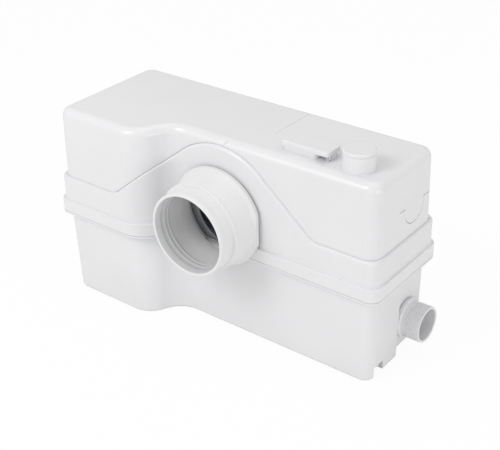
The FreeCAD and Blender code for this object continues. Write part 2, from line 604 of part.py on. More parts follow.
def side_port_nut():
    nut = tube("port_nut_ring", d.port_nut_r, d.port_r + 0.05, -d.port_nut_wall - d.wall, -d.wall,
               d.end_recess, d.port_y, d.port_z, TO_X)
    near, wide = d.end_recess - d.port_nut_wall - d.wall - 1, d.port_nut_r * 2
    flats = [box("nut_flat%d" % index, (near, d.port_y - wide, low),
                 (d.end_recess, d.port_y + wide, low + d.port_nut_r))
             for index, low in enumerate((d.port_z + d.port_nut_r - 2, d.port_z - d.port_nut_r * 2 + 2))]
    return cut("side_port_nut", nut, flats)


def port_flap_x():
    return d.end_recess - d.port_tail - d.port_flap_wall - 0.3


def port_pin(name, radius, half_length):
    """A rod on the hinge line of the side flap, over the barrel and just behind the flap's face."""
    return cylinder(name, radius, half_length * 2, port_flap_x() + d.port_flap_wall, d.port_y - half_length,
                    port_pin_z(), TO_BACK)


def port_pin_z():
    return d.port_z + d.port_r + d.port_pin_up


def side_port_flap():
    """The non-return flap hangs inside the tank over the tail of the barrel."""
    x, half = port_flap_x(), d.port_eye_len / 2
    disc = cylinder("port_flap_disc", d.port_r + 1, d.port_flap_wall, x, d.port_y, d.port_z, TO_X)
    arm = box("port_flap_arm", (x, d.port_y - half, d.port_z + d.port_r - 3),
              (x + d.port_flap_wall, d.port_y + half, port_pin_z() - 1))
    eye = port_pin("port_flap_eye", d.pin_r + 2, half)
    return cut("side_port_flap", fuse("port_flap_body", [disc, arm, eye]),
               [port_pin("port_flap_hole", d.pin_r + d.seat_gap, half + 1)])


def side_port_flap_pin():
    return port_pin("port_pin_rod", d.pin_r, d.port_eye_len / 2 + 5)


def side_port_bracket():
    """Two cheeks on the inner wall carry the pin of the flap."""
    near, far = port_flap_x() - 2, d.end_recess - d.wall
    z, half = port_pin_z(), d.port_eye_len / 2 + 1
    cheeks = [box("port_cheek%d" % index, (near, y, z - d.wall), (far, y + d.wall, z + 5))
              for index, y in enumerate((d.port_y - half - d.wall, d.port_y + half))]
    plate = box("port_cheek_plate", (far - d.wall, d.port_y - half - 1, z + 3), (far, d.port_y + half + 1, z + 5))
    return cut("side_port_bracket", fuse("port_cheeks", cheeks + [plate]),
               [port_pin("port_cheek_hole", d.pin_r, d.port_eye_len / 2 + 6)])


def on_shaft(name, points):
    return turned(name, points, d.shaft_x, d.shaft_y, 0)


def motor_housing():
    deck, wall = d.band_top, d.motor_wall
    return on_shaft("motor_housing", [
        (d.bearing_r - 2, d.hub_low), (d.hub_r, d.hub_low), (d.hub_r, deck), (d.motor_r, deck),
        (d.motor_r, d.motor_top), (d.motor_r - wall, d.motor_top), (d.motor_r - wall, deck + wall),
        (d.bearing_r + wall, deck + wall), (d.bearing_r + wall, deck + wall + d.bearing_wall),
        (d.bearing_r + 0.02, deck + wall + d.bearing_wall), (d.bearing_r + 0.02, deck + wall),
        (d.bearing_r - 2, deck + wall)])


def motor_cap():
    top, wall = d.motor_top, d.motor_wall
    dome = on_shaft("cap_shell", [
        (0, top + d.cap_dome), (d.motor_r - 8, top + d.cap_dome), (d.motor_r, top + 3), (d.motor_r, top),
        (d.motor_r - 9, top), (d.motor_r - 12, top + d.cap_dome - wall),
        (d.bearing_r + wall, top + d.cap_dome - wall),
        (d.bearing_r + wall, top - d.bearing_wall), (d.bearing_r + 0.02, top - d.bearing_wall),
        (d.bearing_r + 0.02, top), (0, top + 4)])
    ribs = []
    for index in range(int(number(d.cap_ribs))):
        rib = box("cap_rib%d" % index, (d.bearing_r, -1, d.cap_dome - 1), (d.motor_r - 9, 1, d.cap_dome + 2))
        ribs.append(ring_copy("cap_rib_turn%d" % index, rib, index * 360 / number(d.cap_ribs), top))
    holes = motor_screw_set("cap_screw_hole", d.cap_dome)
    return cut("motor_cap", fuse("cap_body", [dome] + ribs), holes)


def ring_copy(name, thing, angle, z):
    """A piece turned about the shaft line."""
    holder = doc.addObject("Part::Compound", name)
    holder.Links = [thing]
    return put(holder, d.shaft_x, d.shaft_y, z, ((0, 0, 1), angle))


def motor_screw_set(name, head_len):
    """Four screws round the cap: a shank and a sunk head of the given length."""
    screws = []
    for index in range(4):
        head = cylinder("%s_head%d" % (name, index), d.motor_screw_head_r, head_len, d.motor_r - d.motor_screw_in, 0,
                        d.motor_screw_seat)
        shank = cylinder("%s_shank%d" % (name, index), d.motor_screw_r, d.motor_screw_seat + 1,
                         d.motor_r - d.motor_screw_in)
        bolt = fuse("%s_bolt%d" % (name, index), [head, shank])
        screws.append(ring_copy("%s%d" % (name, index), bolt, 45 + index * 90, d.motor_top))
    return screws


def motor_screws():
    return group("motor_screws", motor_screw_set("motor_screw", d.motor_screw_head))


def stator_core():
    return on_shaft("stator_core", [
        (d.stator_in_r, d.stator_low), (d.stator_r, d.stator_low), (d.stator_r, d.stator_low + d.stator_len),
        (d.stator_in_r, d.stator_low + d.stator_len)])


def stator_windings():
    rings = []
    for index, low in enumerate((d.stator_low - d.winding_len, d.stator_low + d.stator_len)):
        rings.append(on_shaft("winding%d" % index, [
            (d.winding_in_r, low), (d.winding_r, low), (d.winding_r, low + d.winding_len),
            (d.winding_in_r, low + d.winding_len)]))
    return group("stator_windings", rings)


def rotor_core():
    low, high = d.stator_low - 1, d.stator_low + d.stator_len + 1
    return on_shaft("rotor_core", [(d.shaft_r, low), (d.rotor_r, low), (d.rotor_r, high), (d.shaft_r, high)])


def motor_shaft():
    return on_shaft("motor_shaft", [
        (0, d.shaft_low), (d.shaft_r - 1, d.shaft_low), (d.shaft_r, d.shaft_low + 1),
        (d.shaft_r, d.shaft_top - 1), (d.shaft_r - 1, d.shaft_top), (0, d.shaft_top)])


def bearing(name, low):
    """A ball bearing: two races with a shallow groove between them on each face."""
    high, middle = low + d.bearing_wall - 0.5, (d.bearing_r + d.shaft_r) / 2
    bore = d.shaft_r + 0.05
    return on_shaft(name, [
        (bore, low), (middle - 1.2, low), (middle - 1.2, low + 0.8), (middle + 1.2, low + 0.8), (middle + 1.2, low),
        (d.bearing_r, low), (d.bearing_r, high), (middle + 1.2, high), (middle + 1.2, high - 0.8),
        (middle - 1.2, high - 0.8), (middle - 1.2, high), (bore, high)])


def shaft_seal():
    low, high = d.hub_low, d.hub_low + d.seal_wall
    return on_shaft("shaft_seal", [
        (d.shaft_r + 0.05, low + 2), (d.shaft_r + 2, low + 2), (d.shaft_r + 2, low), (d.bearing_r - 2, low),
        (d.bearing_r - 2, high), (d.shaft_r + 0.05, high)])


def cutter_blade():
    z = d.cutter_z
    hub = tube("cutter_hub", d.cutter_hub_r, d.shaft_r, z - 4, z + 10, d.shaft_x, d.shaft_y)
    half = d.cutter_width / 2
    plate = box("cutter_plate", (-d.cutter_r, -half, 0), (d.cutter_r, half, d.cutter_wall))
    bar = ring_copy("cutter_bar", plate, 25, z)
    tips = [ring_copy("cutter_tip%d" % index, box("cutter_hook%d" % index, (d.cutter_r - d.cutter_wall, -half, 0),
                                                 (d.cutter_r, half, d.cutter_tip)), 25 + index * 180, z)
            for index in range(2)]
    hole = cylinder("cutter_bore", d.shaft_r, d.hood_top, d.shaft_x, d.shaft_y, 0)
    return cut("cutter_blade", fuse("cutter_body", [hub, bar] + tips), [hole])


def macerator_basket():
    low, high, wall = d.basket_low, d.band_top - d.deck_wall, d.basket_wall
    drum = on_shaft("basket_drum", [
        (d.basket_hole_r, low), (d.basket_r, low), (d.basket_r, high), (d.basket_r - wall, high),
        (d.basket_r - wall, low + wall), (d.basket_hole_r, low + wall)])
    slots = []
    count = int(number(d.slots))
    for index in range(count):
        slot = box("slot%d" % index, (d.basket_r - wall * 2, -d.slot_width / 2, d.slot_low),
                   (d.basket_r + 1, d.slot_width / 2, d.slot_top))
        slots.append(ring_copy("slot_turn%d" % index, slot, (index + 0.5) * 360 / count, 0))
    window = box("basket_window", (d.shaft_x + d.basket_r / 2, d.shaft_y - d.window_half, d.window_low),
                 (d.shaft_x + d.basket_r + 2, d.shaft_y + d.window_half, d.window_top))
    posts = [ring_copy("basket_post%d" % index,
                       cylinder("post%d" % index, d.post_r, low - d.pump_top + 1, d.basket_r - 13, 0, d.pump_top),
                       60 + index * 120, 0) for index in range(3)]
    return cut("macerator_basket", fuse("basket_body", [drum] + posts), slots + [window])


def pump_housing():
    """A round volute that stands on the tank floor, with a drowned eye on top."""
    low, high, wall = d.pump_low, d.pump_top, d.pump_r - d.pump_in_r
    drum = on_shaft("pump_drum", [
        (0, low), (d.pump_r, low), (d.pump_r, high), (d.pump_eye_r, high), (d.pump_eye_r, high - wall),
        (d.pump_in_r, high - wall), (d.pump_in_r, low + wall), (0, low + wall)])
    floor = d.floor_wall + d.foot_gap
    legs = [ring_copy("pump_leg%d" % index,
                      cylinder("leg%d" % index, d.post_r * 1.5, low - floor + 1, d.pump_r - 10, 0, floor),
                      60 + index * 120, 0) for index in range(3)]
    x, z = riser_x(), outlet_z()
    spout = cylinder("pump_spout", d.outlet_r, d.riser_start - d.shaft_y + 4, x, d.shaft_y, z, TO_BACK)
    clear = cylinder("pump_clear", d.pump_in_r, high - low - wall * 2, d.shaft_x, d.shaft_y, low + wall)
    bore = cylinder("spout_bore", d.outlet_in_r, d.riser_start - d.shaft_y + 6, x, d.shaft_y - 1, z, TO_BACK)
    return cut("pump_housing", fuse("pump_body", [drum, spout] + legs), [clear, bore])


def riser_x():
    return d.shaft_x + d.outlet_shift


def outlet_z():
    return (d.pump_low + d.pump_top) / 2


def impeller():
    low, wall = d.impeller_low, d.impeller_wall
    disc = tube("impeller_disc", d.impeller_r, d.shaft_r, low, low + wall, d.shaft_x, d.shaft_y)
    hub = tube("impeller_hub", d.shaft_r + 4, d.shaft_r, low, low + d.vane_height, d.shaft_x, d.shaft_y)
    vanes = []
    count = int(number(d.vanes))
    for index in range(count):
        vane = doc.addObject("Part::Cylinder", "vane_arc%d" % index)
        bind(vane, "Radius", d.impeller_r * 0.6)
        bind(vane, "Height", d.vane_height)
        put(vane, d.impeller_r * 0.6, d.shaft_r * 2, 0)
        core = cylinder("vane_core%d" % index, d.impeller_r * 0.6 - d.vane_wall, d.vane_height + 2,
                        d.impeller_r * 0.6, d.shaft_r * 2, -1)
        arc = cut("vane%d" % index, vane, [core])
        limit = common("vane_cut%d" % index, arc, cylinder("vane_limit%d" % index, d.impeller_r, d.vane_height + 1))
        near = common("vane_half%d" % index, limit, box("vane_side%d" % index, (d.shaft_r, -d.impeller_r, 0),
                                                       (d.impeller_r, d.shaft_r * 2, d.vane_height)))
        vanes.append(ring_copy("vane_turn%d" % index, near, index * 360 / count, low))
    return fuse("impeller", [disc, hub] + vanes)


def elbow(name, radius, x, y, z, leg, run):
    """A pipe that rises from a point, bends and runs on to +X, about radius."""
    up = cylinder(name + "_up", radius, leg, x, y, z)
    bend = quarter_ring(name + "_bend", d.bend_r, radius, x + d.bend_r, y, z + leg, ((1, 0, 0), 90))
    bend.Placement.Rotation = FreeCAD.Rotation(FreeCAD.Vector(1, 0, 0), 90) * FreeCAD.Rotation(
        FreeCAD.Vector(0, 0, 1), 90)
    along = cylinder(name + "_run", radius, run, x + d.bend_r, y, z + leg + d.bend_r, TO_X)
    return fuse(name, [up, bend, along])


def discharge_line():
    leg = d.pipe_z - d.bend_r - d.riser_top
    run = d.valve_left - riser_x() - d.bend_r + 6
    outer = elbow("line_outer", d.pipe_r, riser_x(), d.pipe_y, d.riser_top, leg, run)
    inner = elbow("line_inner", d.pipe_in_r, riser_x(), d.pipe_y, d.riser_top, leg, run)
    return cut("discharge_line", outer, [inner])


def riser_solid(name, radius):
    z, start = outlet_z(), d.riser_start
    run = d.pipe_y - d.bend_r - start
    flat = cylinder(name + "_flat", radius, run, riser_x(), start, z, TO_BACK)
    bend = quarter_ring(name + "_bend", d.bend_r, radius, riser_x(), d.pipe_y - d.bend_r, z + d.bend_r)
    bend.Placement.Rotation = FreeCAD.Rotation(FreeCAD.Vector(0, 0, 1), 90) * FreeCAD.Rotation(
        FreeCAD.Vector(1, 0, 0), 90) * FreeCAD.Rotation(FreeCAD.Vector(0, 0, 1), -90)
    up = cylinder(name + "_up", radius, d.riser_top - z - d.bend_r, riser_x(), d.pipe_y, z + d.bend_r)
    return fuse(name, [flat, bend, up])


def discharge_riser():
    return cut("discharge_riser", riser_solid("riser_outer", d.pipe_r), [riser_solid("riser_inner", d.pipe_in_r)])


def riser_grommet():
    deck, low = d.band_top, d.band_top - d.deck_wall
    lip = d.grommet_r - d.wall
    return turned("riser_grommet", [
        (d.pipe_r + 0.05, low - 2), (d.grommet_r, low - 2), (d.grommet_r, low), (lip - 0.05, low),
        (lip - 0.05, deck), (d.grommet_r, deck), (d.grommet_r, deck + 2), (d.pipe_r + 0.05, deck + 2)],
        riser_x(), d.pipe_y)


def check_valve():
    """A chamber in the line with a sloping seat and a hinge pocket on top."""
    long, wall = d.valve_len, d.valve_r - d.valve_in_r
    root = d.spigot_r - d.root_step + 0.05
    points = [(d.pipe_r + 0.05, 0), (d.valve_r - 3, 0), (d.valve_r, 3), (d.valve_r, long - 3), (d.valve_r - 3, long),
              (root, long), (root, long - wall), (d.valve_in_r, long - wall), (d.valve_in_r, 12),
              (d.pipe_in_r, 12), (d.pipe_in_r, 6.2), (d.pipe_r + 0.05, 6.2)]
    return turned("check_valve", points, d.valve_left, d.pipe_y, d.pipe_z, TO_X)


def check_flap():
    x, z = d.valve_left + 12.3, d.pipe_z
    disc = cylinder("check_disc", d.flap_r - 0.5, d.flap_wall, x, d.pipe_y, z, TO_X)
    eye = cylinder("check_eye", d.pin_r + 1.3, 8, x + 3, d.pipe_y - 4, z + d.flap_r - 1.5, TO_BACK)
    hole = cylinder("check_hole", d.pin_r + d.seat_gap, d.flap_r * 2, x + 3, d.pipe_y - d.flap_r,
                    z + d.flap_r - 1.5, TO_BACK)
    return cut("check_flap", fuse("check_body", [disc, eye]), [hole])


def check_flap_pin():
    x, z = d.valve_left + 15.3, d.pipe_z + d.flap_r - 1.5
    return cylinder("check_flap_rod", d.pin_r, 28, x, d.pipe_y - 14, z, TO_BACK)


def discharge_spigot():
    start = d.valve_left + d.valve_len - 3.5
    long = d.spigot_end - start
    return turned("discharge_spigot", [
        (d.spigot_in_r, 0), (d.spigot_r - d.root_step, 0), (d.spigot_r - d.root_step, d.spigot_root),
        (d.spigot_r, d.spigot_root), (d.spigot_r, long - 1.5), (d.spigot_r - 1, long),
        (d.spigot_in_r, long)], start, d.pipe_y, d.pipe_z, TO_X)


def pressure_bell():
    low, deck = d.bell_low, d.band_top - d.deck_wall
    return turned("pressure_bell", [
        (d.bell_in_r, low), (d.bell_r, low), (d.bell_r, deck), (d.nipple_r, deck), (d.nipple_r, d.switch_low),
        (d.nipple_r - 2, d.switch_low), (d.nipple_r - 2, deck - 3), (d.bell_in_r, deck - 3)], d.bell_x, d.bell_y)


def pressure_switch():
    low, high = d.switch_low, d.switch_low + d.switch_height
    return turned("pressure_switch", [
        (0, low), (d.switch_r - 4, low), (d.switch_r - 4, low + 3), (d.switch_r, low + 4), (d.switch_r, low + 7),
        (d.switch_r - 3, low + 8), (d.switch_r - 8, high), (d.plunger_r + 0.06, high), (d.plunger_r + 0.06, low + 4),
        (0, low + 4)], d.bell_x, d.bell_y)


def switch_plunger():
    low = d.switch_low + 4.3
    high = d.switch_low + d.switch_height + d.plunger_up
    return turned("switch_plunger", [
        (0, low), (d.plunger_r, low), (d.plunger_r, high - 1), (d.plunger_r - 1, high), (0, high)],
        d.bell_x, d.bell_y)


def lever_z():
    return d.switch_low + d.switch_height + d.plunger_up + 0.3


def switch_lever():
    x, z, half = d.bell_x, lever_z(), d.lever_width / 2
    bar = box("lever_bar", (x - d.lever_len / 2, d.bell_y - half, z),
              (x + d.lever_len / 2, d.bell_y + half, z + d.lever_wall))
    eye = cylinder("lever_eye", d.pin_r + 2, d.lever_width, x - d.lever_len / 2, d.bell_y - half, z + 2, TO_BACK)
    hole = cylinder("lever_hole", d.pin_r + d.seat_gap, d.lever_width + 2, x - d.lever_len / 2,
                    d.bell_y - half - 1, z + 2, TO_BACK)
    return cut("switch_lever", fuse("lever_body", [bar, eye]), [hole])


def switch_bracket():
    """A fork on the deck that carries the lever pin, with the micro switch on its far end."""
    x, y = d.bell_x - d.lever_len / 2, d.bell_y
    half, deck, top = d.lever_width / 2 + 0.4, d.band_top, lever_z() + 6
    cheeks = [box("fork%d" % index, (x - 4, low, deck), (x + 4, low + 3, top))
              for index, low in enumerate((y - half - 3, y + half))]
    foot = box("fork_foot", (x - 4, y - half - 3, deck), (x + 4, y + half + 3, deck + 3))
    hole = cylinder("fork_hole", d.pin_r, d.lever_width + 10, x, y - half - 4, lever_z() + 2, TO_BACK)
    return cut("switch_bracket", fuse("fork_body", cheeks + [foot]), [hole])


def lever_pin():
    half = d.lever_width / 2 + 3.4
    return cylinder("lever_pin", d.pin_r, half * 2, d.bell_x - d.lever_len / 2, d.bell_y - half, lever_z() + 2,
                    TO_BACK)


def micro_switch():
    """The micro switch hangs over the lever from its own post."""
    x, y = d.bell_x + d.lever_len / 2, d.bell_y
    low = lever_z() + d.lever_wall + d.micro_gap
    case = box("micro_case", (x - d.micro_len / 2, y - d.micro_width / 2, low),
               (x + d.micro_len / 2, y + d.micro_width / 2, low + d.micro_height))
    button = box("micro_button", (x - 5, y - 2, low - 1.5), (x - 1, y + 2, low + 1))
    post = box("micro_post", (x + d.micro_len / 2 - 4, y - d.micro_width / 2, d.band_top),
               (x + d.micro_len / 2, y + d.micro_width / 2, low + 1))
    return fuse("micro_switch", [case, button, post])


def control_box():
    x, y, z = d.box_left, d.box_front, d.band_top
    wall = d.box_wall
    outer = rounded_box("control_outer", (x, y, z), (x + d.box_len, y + d.box_width, z + d.box_height), 4)
    inner = box("control_inner", (x + wall, y + wall, z + wall),
                (x + d.box_len - wall, y + d.box_width - wall, z + d.box_height + 1))
    return cut("control_box", outer, [inner])


def control_lid():
    x, y, z = d.box_left, d.box_front, d.band_top + d.box_height
    return rounded_box("control_lid", (x - 1, y - 1, z), (x + d.box_len + 1, y + d.box_width + 1, z + 3), 4)


def terminal_block():
    x, y, z = d.box_left + 12, d.box_front + 12, d.band_top + d.box_wall
    base = box("terminal_base", (x, y, z), (x + d.terminal_len, y + d.terminal_width, z + d.terminal_height))
    pitch = (d.terminal_len - 2) / 3
    wells = [box("terminal_well%d" % index, (x + pitch * index + 3, y + 4, z + 6),
                 (x + pitch * index + 11, y + d.terminal_width - 4, z + d.terminal_height + 1))
             for index in range(3)]
    return cut("terminal_block", base, wells)


def capacitor():
    x, y, z = d.capacitor_x, d.capacitor_y, d.band_top
    can = turned("capacitor", [
        (0, 0), (d.capacitor_r, 0), (d.capacitor_r, d.capacitor_len - 2), (d.capacitor_r - 2, d.capacitor_len),
        (4, d.capacitor_len), (4, d.capacitor_len + 6), (0, d.capacitor_len + 6)], x, y, z)
    return can


def cable_gland():
    """The inlet for the mains lead, in the back wall of the hood."""
    wall = d.rim_depth / 2 - d.hood_inset
    lean = (d.gland_z - d.band_top) * tan(d.hood_draft_deg)
    out = wall - lean
    return turned("cable_gland", [
        (5, -12), (d.gland_r, -12), (d.gland_r, 0.5), (d.gland_nut_r, 0.5), (d.gland_nut_r, 5), (d.gland_r, 6.5),
        (d.gland_r - 1.5, 13), (5, 13)], d.gland_x, out, d.gland_z, TO_BACK)


def gland_nut():
    wall = d.rim_depth / 2 - d.hood_inset - d.wall
    lean = (d.gland_z - d.band_top) * tan(d.hood_draft_deg)
    return tube("gland_nut", d.gland_nut_r, d.gland_r + 0.05, -5.5, -0.5, d.gland_x, wall - lean, d.gland_z, TO_BACK)


def inlet_chute():
    """An open trough that leads from under the inlet down to the basket."""
    left, right, low, high = d.chute_left, d.chute_right, d.chute_low, d.chute_high
    deck, wall = d.band_top - d.deck_wall, d.chute_wall
    outer = prism("chute_outer", "XZ_Plane", [(left, low), (right, high), (right, deck), (left, deck)],
                  d.chute_front + d.chute_back, -d.chute_back)
    inner = prism("chute_inner", "XZ_Plane",
                  [(left - 1, low + wall), (right - wall, high + wall), (right - wall, deck + 1),
                   (left - 1, deck + 1)],
                  d.chute_front + d.chute_back - wall * 2, wall - d.chute_back)
    hole = inlet_cylinder("chute_hole", d.bore_r, d.rim_depth, d.chute_front - wall * 2)
    return cut("inlet_chute", outer, [inner, hole])


def vent_cap():
    low, high = d.vent_top - d.vent_cap_wall, d.vent_top
    return turned("vent_cap", [
        (d.vent_in_r - 3, low - 4), (d.vent_in_r - 0.1, low - 4), (d.vent_in_r - 0.1, low), (d.vent_r, low),
        (d.vent_r, high - 1.6), (d.vent_r - 1.6, high), (0, high), (0, high - 2.5), (d.vent_in_r - 3, high - 2.5)],
        d.vent_x, d.vent_y)


def vent_filter():
    low = d.hood_top
    return turned("vent_filter", [
        (0, low), (d.vent_in_r - 0.3, low), (d.vent_in_r - 0.3, low + d.pad_wall), (0, low + d.pad_wall)],
        d.vent_x, d.vent_y)


def carbon_filter():
    wall, low = d.hatch_wall + 0.3, d.hood_top
    return rounded_box("carbon_filter", (d.hatch_left + wall, d.hatch_front + wall, low),
                       (d.hatch_right - wall, d.hatch_back - wall, low + d.pad_wall), 1.5)


def seal_washer():
    return tube("side_port_seal", d.port_collar_r - d.port_seal_in, d.port_r + 0.05, 0, d.port_seal_wall,
                d.end_recess, d.port_y, d.port_z, TO_X)


def export(label, thing):
    thing.Label = label
    doc.recompute()
    shape = thing.Shape
    if shape.isNull() or not shape.isValid() or shape.Volume < 1:
        raise ValueError(label + " has no sound shape")
    shape.exportStep("parts/%s.step" % label)


def main():
    fill_sheet()
    pieces = {
        "tank": tank(), "tank_gasket": gasket_ring("gasket_body", d.seat_gap),
        "rubber_feet": group("feet", foot_pads("foot", 0)),
        "rim_screws": group("screws", rim_screw_parts("screw", 0)),
        "tank_cover": cover(), "hood": hood(), "discharge_panel": panel(), "vent_cap": vent_cap(),
        "vent_filter": vent_filter(), "carbon_filter": carbon_filter(), "filter_lid": filter_lid(),
        "filter_lid_pin": lid_pin("lid_pin", 0), "inlet_sleeve": inlet_sleeve(), "inlet_lip_seal": lip_seal(),
        "inlet_backing_ring": backing_ring(), "side_port": side_port(), "side_port_seal": seal_washer(),
        "side_port_nut": side_port_nut(), "side_port_flap": side_port_flap(),
        "side_port_flap_pin": side_port_flap_pin(), "side_port_bracket": side_port_bracket(),
        "motor_housing": motor_housing(), "motor_cap": motor_cap(), "motor_screws": motor_screws(),
        "stator_core": stator_core(), "stator_windings": stator_windings(), "rotor_core": rotor_core(),
        "motor_shaft": motor_shaft(), "lower_bearing": bearing("lower_race", d.band_top + d.motor_wall),
        "upper_bearing": bearing("upper_race", d.motor_top - d.bearing_wall + 0.5), "shaft_seal": shaft_seal(),
        "cutter_blade": cutter_blade(), "macerator_basket": macerator_basket(), "pump_housing": pump_housing(),
        "impeller": impeller(), "discharge_riser": discharge_riser(), "riser_grommet": riser_grommet(),
        "discharge_line": discharge_line(), "check_valve": check_valve(), "check_flap": check_flap(),
        "check_flap_pin": check_flap_pin(), "discharge_spigot": discharge_spigot(),
        "pressure_bell": pressure_bell(), "pressure_switch": pressure_switch(), "switch_plunger": switch_plunger(),
        "switch_lever": switch_lever(), "switch_bracket": switch_bracket(), "lever_pin": lever_pin(),
        "micro_switch": micro_switch(), "control_box": control_box(), "control_lid": control_lid(),
        "terminal_block": terminal_block(), "capacitor": capacitor(), "cable_gland": cable_gland(),
        "gland_nut": gland_nut(), "inlet_chute": inlet_chute(),
    }
    doc.recompute()
    for thing in doc.Objects:
        if "Invalid" in thing.State or "Error" in thing.State:
            raise ValueError("%s is not sound: %s" % (thing.Name, thing.State))
    for label, thing in pieces.items():
        export(label, thing)


main()
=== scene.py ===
import json
import math

import bmesh
import bpy
from mathutils import Matrix, Vector


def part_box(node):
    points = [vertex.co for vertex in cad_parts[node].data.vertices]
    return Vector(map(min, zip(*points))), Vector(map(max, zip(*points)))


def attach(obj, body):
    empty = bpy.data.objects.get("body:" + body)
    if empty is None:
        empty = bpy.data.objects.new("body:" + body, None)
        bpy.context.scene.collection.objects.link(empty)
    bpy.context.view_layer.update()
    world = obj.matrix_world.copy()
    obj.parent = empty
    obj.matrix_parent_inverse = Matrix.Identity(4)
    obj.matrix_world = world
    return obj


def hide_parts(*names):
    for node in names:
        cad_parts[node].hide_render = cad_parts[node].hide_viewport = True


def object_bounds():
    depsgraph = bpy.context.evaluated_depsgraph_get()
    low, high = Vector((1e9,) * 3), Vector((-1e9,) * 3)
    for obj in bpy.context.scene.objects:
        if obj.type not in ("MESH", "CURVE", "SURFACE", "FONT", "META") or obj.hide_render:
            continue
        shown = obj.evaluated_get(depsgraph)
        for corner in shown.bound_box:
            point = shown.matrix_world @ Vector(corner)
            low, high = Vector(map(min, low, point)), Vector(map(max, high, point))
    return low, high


bl_info = {
    "name": "Sewage lifting station",
    "version": (1, 0, 0),
    "blender": (4, 5, 0),
    "location": "View3D > Sidebar > Station",
    "description": "Models the shells, inlets and fittings of a lifting station round its CAD frame",
    "category": "Add Mesh",
}

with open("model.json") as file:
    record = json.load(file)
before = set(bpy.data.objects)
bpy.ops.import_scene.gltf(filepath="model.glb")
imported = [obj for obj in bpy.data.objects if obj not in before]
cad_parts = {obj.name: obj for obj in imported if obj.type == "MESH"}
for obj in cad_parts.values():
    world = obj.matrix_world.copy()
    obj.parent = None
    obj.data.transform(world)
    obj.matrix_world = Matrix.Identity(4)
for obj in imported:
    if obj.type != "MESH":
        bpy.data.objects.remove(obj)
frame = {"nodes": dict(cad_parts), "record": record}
CAD_LOW, CAD_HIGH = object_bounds()

TINY = 1e-5
NEAR = 0.001  # how deep a joined solid sits in the other, and a short run past a cut
PAST = 0.01  # how far a cutting solid runs past what it cuts
SHARP = math.radians(38)  # edges that turn by more are broken and shaded sharp


def length(name, default, description):
    return bpy.props.FloatProperty(name=name, description=description, default=default, unit="LENGTH",
                                   precision=4)


def angle(name, degrees, description):
    return bpy.props.FloatProperty(name=name, description=description, default=math.radians(degrees),
                                   unit="ROTATION")


def colour(name, default, description):
    return bpy.props.FloatVectorProperty(name=name, description=description, default=default,
                                         subtype="COLOR", size=3, min=0, max=1)


def size_of(node):
    low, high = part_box(node)
    return high - low


def middle_of(node):
    low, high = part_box(node)
    return (low + high) / 2


